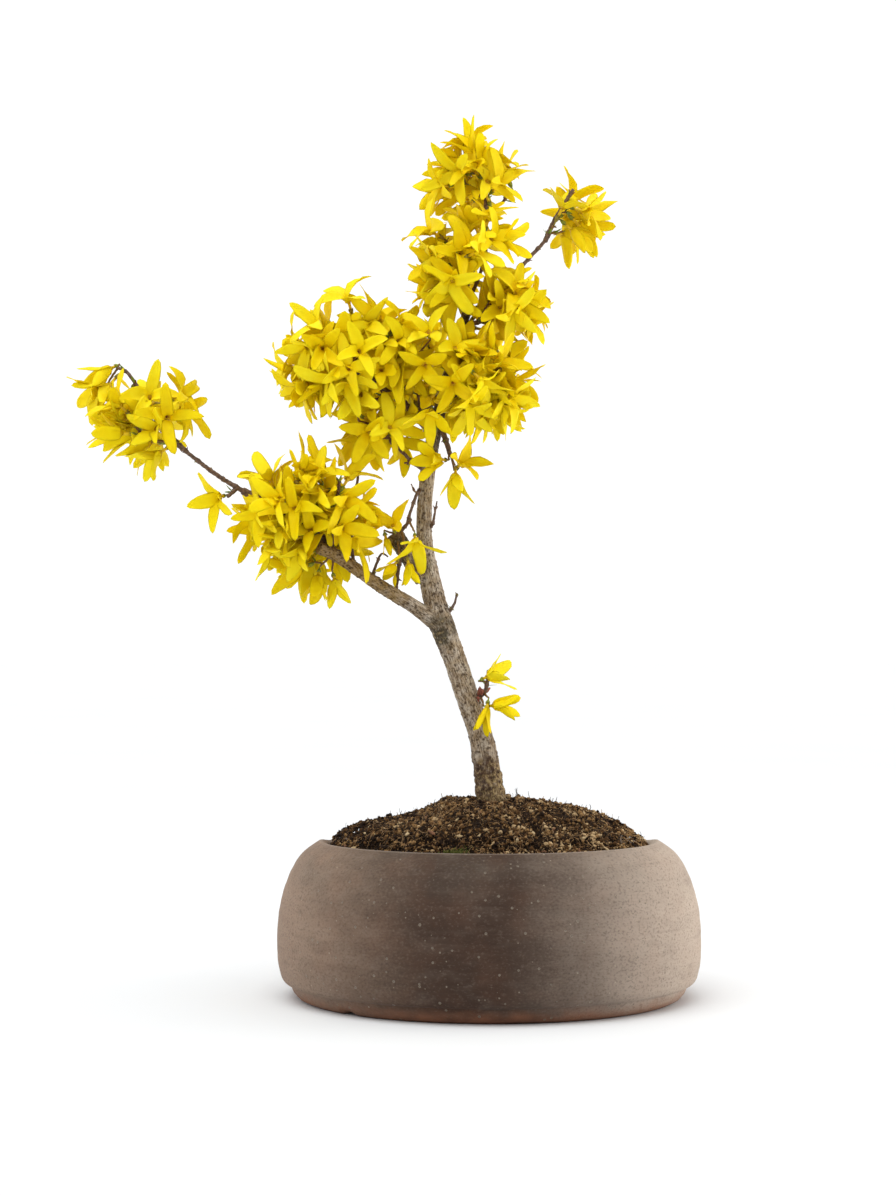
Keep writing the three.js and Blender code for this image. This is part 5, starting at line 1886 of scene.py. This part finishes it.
@dataclass
class Stamps:
    """The small shapes of the blossom, each modelled once in its own unit size along +Z."""

    petal_rows: tuple = ((0.0, 0.5), (0.10, 0.76), (0.24, 0.95), (0.42, 1.0), (0.60, 0.96), (0.78, 0.83),
                         (0.92, 0.56), (1.0, 0.18))
    petal_thickness: float = 0.055

    def build(self) -> None:
        """Model them all."""
        self.petal = self.model_petal()
        self.throat = self.model_throat()
        self.calyx = self.model_calyx()
        self.scale = self.model_scale()
        self.anther = self.model_anther()

    def model_petal(self) -> Stamp:
        """Model a strap-shaped petal, one unit long and one unit to each side of its middle."""
        rows = self.petal_rows
        petal = begin(bpy.ops.mesh.primitive_uv_sphere_add, "petal", segments=8, ring_count=len(rows) - 1,
                      radius=1)
        places = [math.cos(math.pi * i / (len(rows) - 1)) for i in range(len(rows))]
        for place, (along, half) in zip(places, reversed(rows)):
            choose(petal, lambda at, place=place: abs(at.z - place) < 0.02)
            radius = math.sqrt(max(1 - place * place, 0))
            if radius > 0.01:
                size = (half / radius, half * self.petal_thickness / radius, 1)
                bpy.ops.transform.resize(value=size, center_override=(0, 0, place))
            bpy.ops.transform.translate(value=(0, 0, along + 4 - place))
        choose_all()
        bpy.ops.transform.translate(value=(0, 0, -4))
        return Stamp.of(petal)

    def model_throat(self) -> Stamp:
        """Model a hollow tube that widens from its foot at 0 to its rim at 1."""
        throat = begin(bpy.ops.mesh.primitive_cylinder_add, "throat", vertices=8, radius=0.5, depth=1,
                       location=(0, 0, 0.5))
        choose(throat, lambda at: at.z > 0.5)
        bpy.ops.transform.translate(value=(0, 0, -0.45))
        for rise, grow in ((0.25, 1.2), (0.2, 1.65), (0, 0.78), (-0.3, 0.6)):
            extrude(rise, grow)
        return Stamp.of(throat)

    def model_calyx(self) -> Stamp:
        """Model a stalk with a cup of four pointed lobes, from 0 to 1."""
        calyx = begin(bpy.ops.mesh.primitive_cylinder_add, "calyx", vertices=8, radius=0.3, depth=0.3,
                      location=(0, 0, 0.15))
        choose(calyx, lambda at: at.z > 0.2)
        for rise, grow in ((0.1, 2.0), (0.22, 1.5), (0.16, 1.05), (-0.12, 0.75)):
            extrude(rise, grow)
        for quarter in range(4):
            angle = quarter * math.pi / 2
            tip = Vector((math.cos(angle), math.sin(angle), 0))
            choose(calyx, lambda at, tip=tip: at.z > 0.7 and at.xy.normalized().dot(tip.xy) > 0.95)
            bpy.ops.transform.translate(value=(tip.x * 0.12, tip.y * 0.12, 0.24))
        return Stamp.of(calyx)

    def model_scale(self) -> Stamp:
        """Model a pointed bud scale, which also serves as a small leaf, one unit long."""
        scale = begin(bpy.ops.mesh.primitive_uv_sphere_add, "scale", segments=6, ring_count=5, radius=0.5,
                      location=(0, 0, 0.5))
        choose(scale, lambda at: at.z > 0.6)
        bpy.ops.transform.resize(value=(0.7, 0.7, 1), center_override=(0, 0, 0.6))
        return Stamp.of(scale)

    def model_anther(self) -> Stamp:
        """Model an anther, a small oval body."""
        anther = begin(bpy.ops.mesh.primitive_ico_sphere_add, "anther", subdivisions=1, radius=1)
        choose_all()
        bpy.ops.transform.resize(value=(0.55, 0.4, 1), center_override=(0, 0, 0))
        return Stamp.of(anther)


@dataclass
class PetalPose:
    """How one petal is bent, and what is its own about its outline."""

    curl: float
    twist: float
    sweep: float
    fold: float
    turn: float
    width: float
    length: float
    taper: float
    ripple: float


@dataclass(frozen=True)
class ScaleRule:
    """How bud scales and small leaves stand on their twigs. A pair is a range that is drawn from.

    The shoot on the trunk has red scales near its root. Widths are shares of the length, and the thickness
    of a scale is a share of its width.
    """

    at_bud: int = 3
    on_shoot: int = 12
    shoot_root: tuple = (1, 6)
    leaves: float = 0.3
    leaf: tuple = (3, 6)
    leaf_width: float = 0.34
    leaf_thickness: float = 0.25
    scale: tuple = (1.2, 2.4)
    scale_width: float = 0.42
    scale_thickness: float = 0.8
    outward: float = 0.8
    rise: tuple = (0.2, 0.9)
    olive: float = 0.5
    sunk: float = 0.6


@dataclass
class Blossom:
    """All the flowers with their twigs, calyxes, buds and small leaves.

    A petal starts along the funnel of its flower, flares out over funnel_length of its own length, and sags
    towards its tip. Where it crosses others, it is bent again, up to attempts times and by loosening more
    each time. A twig has a ring of corners at every ring, moved by wobble, and swells at its buds.
    """

    growth: Growth
    scales: ScaleRule = ScaleRule()
    tones: tuple = (
        Mottled("petal_clear", "#f7dc04", "#fde40c", 4, 0.6, 0.04, 0.12, 0.14),
        Mottled("petal_golden", "#f1d204", "#f9de08", 4, 0.6, 0.04, 0.12, 0.14),
        Mottled("petal_light", "#fae20c", "#fde920", 4, 0.6, 0.04, 0.12, 0.14),
    )
    half_width: float = 3.5
    side_room: float = 0.85
    fullest: float = 0.6
    taper_from: float = 0.5
    throat_radius: float = 1.45
    calyx_share: float = 0.6
    calyx_radius: float = 1.2
    nearest: float = 24
    attempts: int = 9
    petal_steps: int = 13
    foot_share: float = 0.6
    foot_depth: float = 0.9
    least_half: float = 1.9
    ripple: float = 0.2
    loosening: float = 0.05
    loosest: int = 5
    stalk_from: float = 0.5
    tube_overlap: float = 0.62
    throat_lift: float = 0.5
    anther_size: float = 0.55
    anther_lift: float = 0.4
    anther_side: float = 0.36
    ring: float = 0.9
    wobble: float = 0.07
    swelling: float = 0.7
    bud_gap: float = 7.5
    branch_share: float = 0.64
    bare_shoots: tuple = (
        (((-66.5, -10.5, 211.5), (-68, -9.5, 228), (-66, -8.5, 246), (-64, -8, 262), (-60.8, -7, 277)),
         (0.95, 0.5)),
        (((-20.4, -1, 189), (-17.5, -2, 193), (-16.6, -2, 195.6), (-15.7, -2.6, 198.9)), (1, 0.4)),
        (((-28.5, 0, 232.5), (-27.4, -3, 234.5), (-26.8, -3.4, 239), (-25.7, -3.6, 244.6)), (0.95, 0.35)),
        (((-33.5, 0, 251.6), (-36, -4, 247.5), (-38.6, -6, 240), (-41.4, -5, 231)), (0.95, 0.6)),
        (((-35.4, -3, 248.6), (-37.4, -5, 250), (-38.6, -6, 253)), (0.5, 0.3)),
        (((-30.5, 0, 262), (-35, -1.5, 261.8), (-38, -3, 263.6), (-42, -4, 263.4)), (0.9, 0.4)),
        (((-44, -2, 216), (-45, -3.5, 210.5), (-45.6, -4, 205), (-46, -4.5, 198)), (1.2, 0.8)),
        (((-58, -7, 206), (-55.4, -6, 214), (-53, -5, 218.6), (-50, -4, 216.9)), (0.9, 0.4)),
    )
    sag: float = 0.3
    flare: float = 0.12
    funnel: float = 0.9
    funnel_length: float = 0.22
    seed: int = 71

    def build(self) -> None:
        """Grow and model all of it."""
        self.draw = np.random.default_rng(self.seed)
        self.stamps = Stamps()
        self.stamps.build()
        self.grown = self.growth.grow()
        self.build_petals()
        self.build_flower_feet()
        self.build_twigs()
        self.build_buds()

    def pose_of(self, flower: Flower) -> PetalPose:
        """Draw how one petal is bent. Wide open flowers curl back a little, and half open ones don't."""
        wide = float(np.clip((flower.spread - 0.7) / 0.5, 0, 1))
        draw = self.draw
        return PetalPose(
            curl=draw.normal(0.04 + 0.16 * wide, 0.15), twist=draw.normal(0, 0.45),
            sweep=draw.normal(0, 0.13), fold=draw.uniform(-0.1, 0.65), turn=draw.normal(0, 0.10),
            width=draw.uniform(0.82, 1.08), length=draw.uniform(1.02, 1.16), taper=draw.uniform(0, 0.5),
            ripple=draw.uniform(0, 2 * math.pi))

    def petal_corners(self, flower: Flower, quarter: int, pose: PetalPose, lean: float = 0) -> Array:
        """Bend the petal's shape to its place on a flower.

        Args:
            flower: The flower.
            quarter: Which of its four petals it is.
            pose: How it is bent.
            lean: How much further it opens than the flower's own spread.

        Returns:
            The petal's corners.
        """
        out = way_out(flower.direction, flower.roll + quarter * math.pi / 2 + pose.turn)
        side = np.cross(out, flower.direction)
        rows = self.petal_steps
        t = np.linspace(0, 1, rows)
        spread = flower.spread + lean + pose.curl * (2 * t - 1)
        spread += self.flare - self.funnel * flower.spread * np.exp(-t / self.funnel_length)
        sweep = pose.sweep * (2 * t - 0.6)
        heading = (flower.direction * np.cos(spread)[:, None] + out * np.sin(spread)[:, None])
        heading = heading * np.cos(sweep)[:, None] + side * np.sin(sweep)[:, None]
        heading = unit(heading - np.outer(self.sag * t, (0, 0, 1)))
        length = flower.petal * pose.length
        foot = flower.throat + out * self.throat_radius * self.foot_share - flower.direction * self.foot_depth
        steps = np.vstack([np.zeros(3), (heading[1:] + heading[:-1]) * (length / (rows - 1) / 2)])
        centre = foot + np.cumsum(steps, axis=0)
        front = flower.direction * np.sin(spread)[:, None] - out * np.cos(spread)[:, None]
        across = unit(np.cross(heading, front))
        front = np.cross(across, heading)
        twist = pose.twist * t ** 1.5
        across, front = (across * np.cos(twist)[:, None] + front * np.sin(twist)[:, None],
                         front * np.cos(twist)[:, None] - across * np.sin(twist)[:, None])
        room = self.side_room * self.fullest * flower.petal * math.sin(flower.spread)
        half = min(self.half_width, max(room, self.least_half)) * pose.width
        shape = self.stamps.petal.corners
        at = shape[:, 2] * (rows - 1)
        low = np.clip(at.astype(int), 0, rows - 2)
        part = (at - low)[:, None]

        def mixed(values: Array) -> Array:
            """Read a row's values at each corner."""
            return values[low] * (1 - part) + values[low + 1] * part

        x = shape[:, 0] * (1 - pose.taper * ramp(shape[:, 2], self.taper_from, 1) ** 1.3)
        cup = pose.fold * half * np.abs(x) ** 1.2
        wave = self.ripple * half * x * np.sin(8 * shape[:, 2] + pose.ripple)
        rise = cup + wave + shape[:, 1] * half
        return mixed(centre) + mixed(across) * (x * half)[:, None] + mixed(front) * rise[:, None]

    def build_petals(self) -> None:
        """Bend every petal to its place, out of the way of those before it, and join them by region."""
        faces = self.stamps.petal.faces
        shape = self.stamps.petal.corners
        foot = [max(shape[i, 2] for i in face) < 0.15 for face in faces]
        batches = {region: Batch() for region in Region}
        trees: list[tuple[Array, BVHTree]] = []
        middles = np.zeros((0, 3))
        crossing = 0
        for mass in self.grown.values():
            sprays = {id(axis): number for number, axis in enumerate(mass.axes)}
            for flower in mass.flowers:
                tone = (sprays[id(flower.axis)] * 7 + mass.plan.seeds[0]) % 3
                slots = [3 if low else tone for low in foot]
                made = []
                for quarter in range(4):
                    near = np.flatnonzero(np.linalg.norm(middles - flower.throat, axis=1) < self.nearest)
                    around = [trees[i][1] for i in near]
                    corners, tree, hits = self.free_petal(flower, quarter, around)
                    crossing += hits > 0
                    batches[mass.plan.region].add(corners, faces, slots)
                    made.append((corners.mean(0), tree))
                trees += made
                middles = np.vstack([middles, [middle for middle, _ in made]])
        log.info("petals that still cross another: %d of %d", crossing, len(trees))
        finishes = [tone.build() for tone in self.tones]
        finishes += finishes_of(("petal_foot", "#dcb602", "#eac904", 3, 0.55, 0.04, 0.22))
        for region, batch in batches.items():
            nodes = [f"{name}_blossom" for name, mass in self.grown.items() if mass.plan.region == region]
            settle(batch.build(f"petals_{region.value}", finishes), Slot.BLOSSOM, *nodes)

    def free_petal(self, flower: Flower, quarter: int,
                   around: list[BVHTree]) -> tuple[Array, BVHTree, int]:
        """Bend a petal in a few ways and keep the one that crosses the others least.

        Args:
            flower: The flower.
            quarter: Which of its four petals it is.
            around: The petals near it.

        Returns:
            The petal's corners, its faces for later tests, and how many faces of others it still crosses.
        """
        best = None
        for attempt in range(self.attempts):
            pose = self.pose_of(flower)
            loose = min(attempt, self.loosest) * self.loosening
            lean = float(self.draw.normal(0, 1)) * loose
            pose.turn += float(self.draw.normal(0, 1)) * loose * 0.7
            corners = self.petal_corners(flower, quarter, pose, lean)
            tree = BVHTree.FromPolygons(corners.tolist(), self.stamps.petal.faces)
            hits = sum(len(tree.overlap(other)) for other in around)
            if best is None or hits < best[2]:
                best = (corners, tree, hits)
            if hits == 0:
                break
        return best

    def build_flower_feet(self) -> None:
        """Make each flower's tube, its calyx on a short stalk, and its two anthers."""
        tubes, calyxes, anthers = Batch(), Batch(), Batch()
        throat, calyx, anther = self.stamps.throat, self.stamps.calyx, self.stamps.anther
        inner = [min(throat.corners[i, 2] for i in face) > 0.1 and
                 max(float(np.hypot(*throat.corners[i, :2])) for i in face) < 0.6 for face in throat.faces]
        for mass in self.grown.values():
            for flower in mass.flowers:
                u, v = frame_of(flower.direction)
                c, s = math.cos(flower.roll), math.sin(flower.roll)
                basis = np.stack([u * c + v * s, v * c - u * s, flower.direction])
                whole = float(np.linalg.norm(flower.throat - flower.root))
                start_at = flower.axis.reach * self.stalk_from
                green = (whole - start_at) * self.calyx_share
                size = self.draw.uniform(0.9, 1.1)
                cup = calyx.corners * np.array([self.calyx_radius * size, self.calyx_radius * size, green])
                calyxes.add(flower.root + flower.direction * start_at + cup @ basis, calyx.faces,
                            int(self.draw.random() < 0.35))
                long = whole - start_at - green * self.tube_overlap
                cup = throat.corners * np.array([self.throat_radius, self.throat_radius, long])
                root = flower.throat - flower.direction * (long - self.throat_lift)
                tubes.add(root + cup @ basis, throat.faces, [int(deep) for deep in inner])
                for way in (-1, 1):
                    body = anther.corners * self.anther_size + np.array([self.anther_side * way, 0, 0])
                    place = flower.throat + flower.direction * self.anther_lift
                    anthers.add(place + body @ basis, anther.faces, 0)
        settle(tubes.build("flower_tubes", finishes_of(
            ("tube_yellow", "#d9b404", "#ecca08", 2, 0.55),
            ("throat_amber", "#8f5208", "#c07c0a", 1, 0.6))), Slot.BLOSSOM)
        settle(calyxes.build("calyxes", finishes_of(
            ("calyx_green", "#6b7818", "#9aa22c", 1.5, 0.6),
            ("calyx_olive", "#75641f", "#a0902f", 1.5, 0.65))), Slot.TWIG)
        settle(anthers.build("anthers", finishes_of(
            ("anther_gold", "#c98f0a", "#e6b818", 0.6, 0.6))), Slot.BLOSSOM)

    def sticks(self) -> list[tuple[Array, tuple, list, bool]]:
        """Gather all stems, twigs and bare branches: line, radius, buds, and if there are leaves.

        A twig ends at its last flower or side twig, and one that bears none is left out.
        """
        sticks = []
        for mass in self.grown.values():
            ends = {id(mass.axes[0]): length_of(mass.axes[0].line)}
            borne = [(flower.axis, flower.distance) for flower in mass.flowers]
            borne += [(axis.parent, axis.rooted) for axis in mass.axes if axis.parent]
            for axis, distance in borne:
                ends[id(axis)] = max(ends.get(id(axis), 0), distance)
            for axis in mass.axes:
                end = ends.get(id(axis), 0)
                if end:
                    stem = axis is mass.axes[0]
                    line = cut(root_back(axis.line) if stem else axis.line, end + ROOT_DEPTH * stem)
                    sticks.append((line, axis.girth, [bud for bud in axis.buds if bud <= end], True))
        bare = [(limb.route, (limb.radius[0] * self.branch_share, limb.radius[-1] * self.branch_share))
                for name, limb in LIMBS.items() if name not in HEAVY_LIMBS]
        for route, girth in (*bare, *self.bare_shoots):
            line = root_back(smooth(route, 4))
            sticks.append((line, girth, list(np.arange(4, length_of(line) - 1, self.bud_gap)), False))
        return sticks

    def build_twigs(self) -> None:
        """Make stems, twigs and the bare branches, swollen at every pair of buds."""
        batch = Batch()
        for line, girth, buds, _ in self.sticks():
            end = length_of(line)
            count = max(4, int(end / self.ring))
            distances = np.linspace(0, end, count)
            points = np.array([point_at(line, distance)[0] for distance in distances])
            points[1:-1] += self.draw.normal(0, self.wobble, (count - 2, 3))
            radii = np.linspace(girth[0], girth[1], count)
            for bud in buds:
                radii = radii + (0.2 + 0.12 * girth[0]) * np.exp(-((distances - bud) / self.swelling) ** 2)
            radii *= 1 + self.draw.normal(0, 0.04, count)
            batch.add(*tube(points, radii, 8 if girth[0] > 1 else 6), int(girth[0] < 0.9))
        finishes = finishes_of(("young_bark", "#49342a", "#7d6352", 1.3, 0.7, 0.15),
                               ("shoot_bark", "#63431f", "#8e6c38", 1.3, 0.65, 0.1))
        branches = [name for name in LIMBS if name not in HEAVY_LIMBS]
        settle(batch.build("twigs", finishes), Slot.TWIG, *branches)

    def build_buds(self) -> None:
        """Set bud scales at the nodes, and a few very small leaves."""
        batch, scale, rule = Batch(), self.stamps.scale, self.scales
        shoot = self.grown["trunk_shoot"].axes[0]
        spots = [(*point_at(line, bud), girth[1], leafy, False) for line, girth, buds, leafy in self.sticks()
                 for bud in buds for _ in range(rule.at_bud)]
        spots += [(*point_at(shoot.line, self.draw.uniform(*rule.shoot_root)), 1, False, True)
                  for _ in range(rule.on_shoot)]
        for point, direction, radius, leafy, red in spots:
            out = way_out(direction, self.draw.uniform(0, 2 * math.pi))
            leaf = self.draw.random() < rule.leaves and leafy
            long = self.draw.uniform(*(rule.leaf if leaf or red else rule.scale))
            wide = (rule.leaf_width if leaf else rule.scale_width) * long
            thick = rule.leaf_thickness if leaf else wide * rule.scale_thickness
            heading = unit(out * rule.outward + direction * self.draw.uniform(*rule.rise))
            side = unit(np.cross(direction, out))
            basis = np.stack([side, np.cross(heading, side), heading])
            body = scale.corners * np.array([wide, thick, long])
            slot = 3 if red else 2 if leaf else int(self.draw.random() < rule.olive)
            batch.add(point + out * radius * rule.sunk + body @ basis, scale.faces, slot)
        finishes = finishes_of(("bud_brown", "#55301f", "#84522f", 1, 0.6),
                               ("bud_olive", "#6a681d", "#97912f", 1, 0.6),
                               ("leaf_green", "#566e16", "#88a02a", 2, 0.5),
                               ("bud_red", "#70362a", "#a8604c", 1, 0.6))
        settle(batch.build("buds_and_leaves", finishes), Slot.TWIG)


def main() -> None:
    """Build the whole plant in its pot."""
    logging.basicConfig(level=logging.INFO, format="%(message)s")
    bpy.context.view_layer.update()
    Studio().build()
    Pot().build(Stoneware())
    Soil().build()
    Limbs().build(Bark())
    Blossom(Growth()).build()
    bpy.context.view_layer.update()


if __name__ == "__main__":
    main()
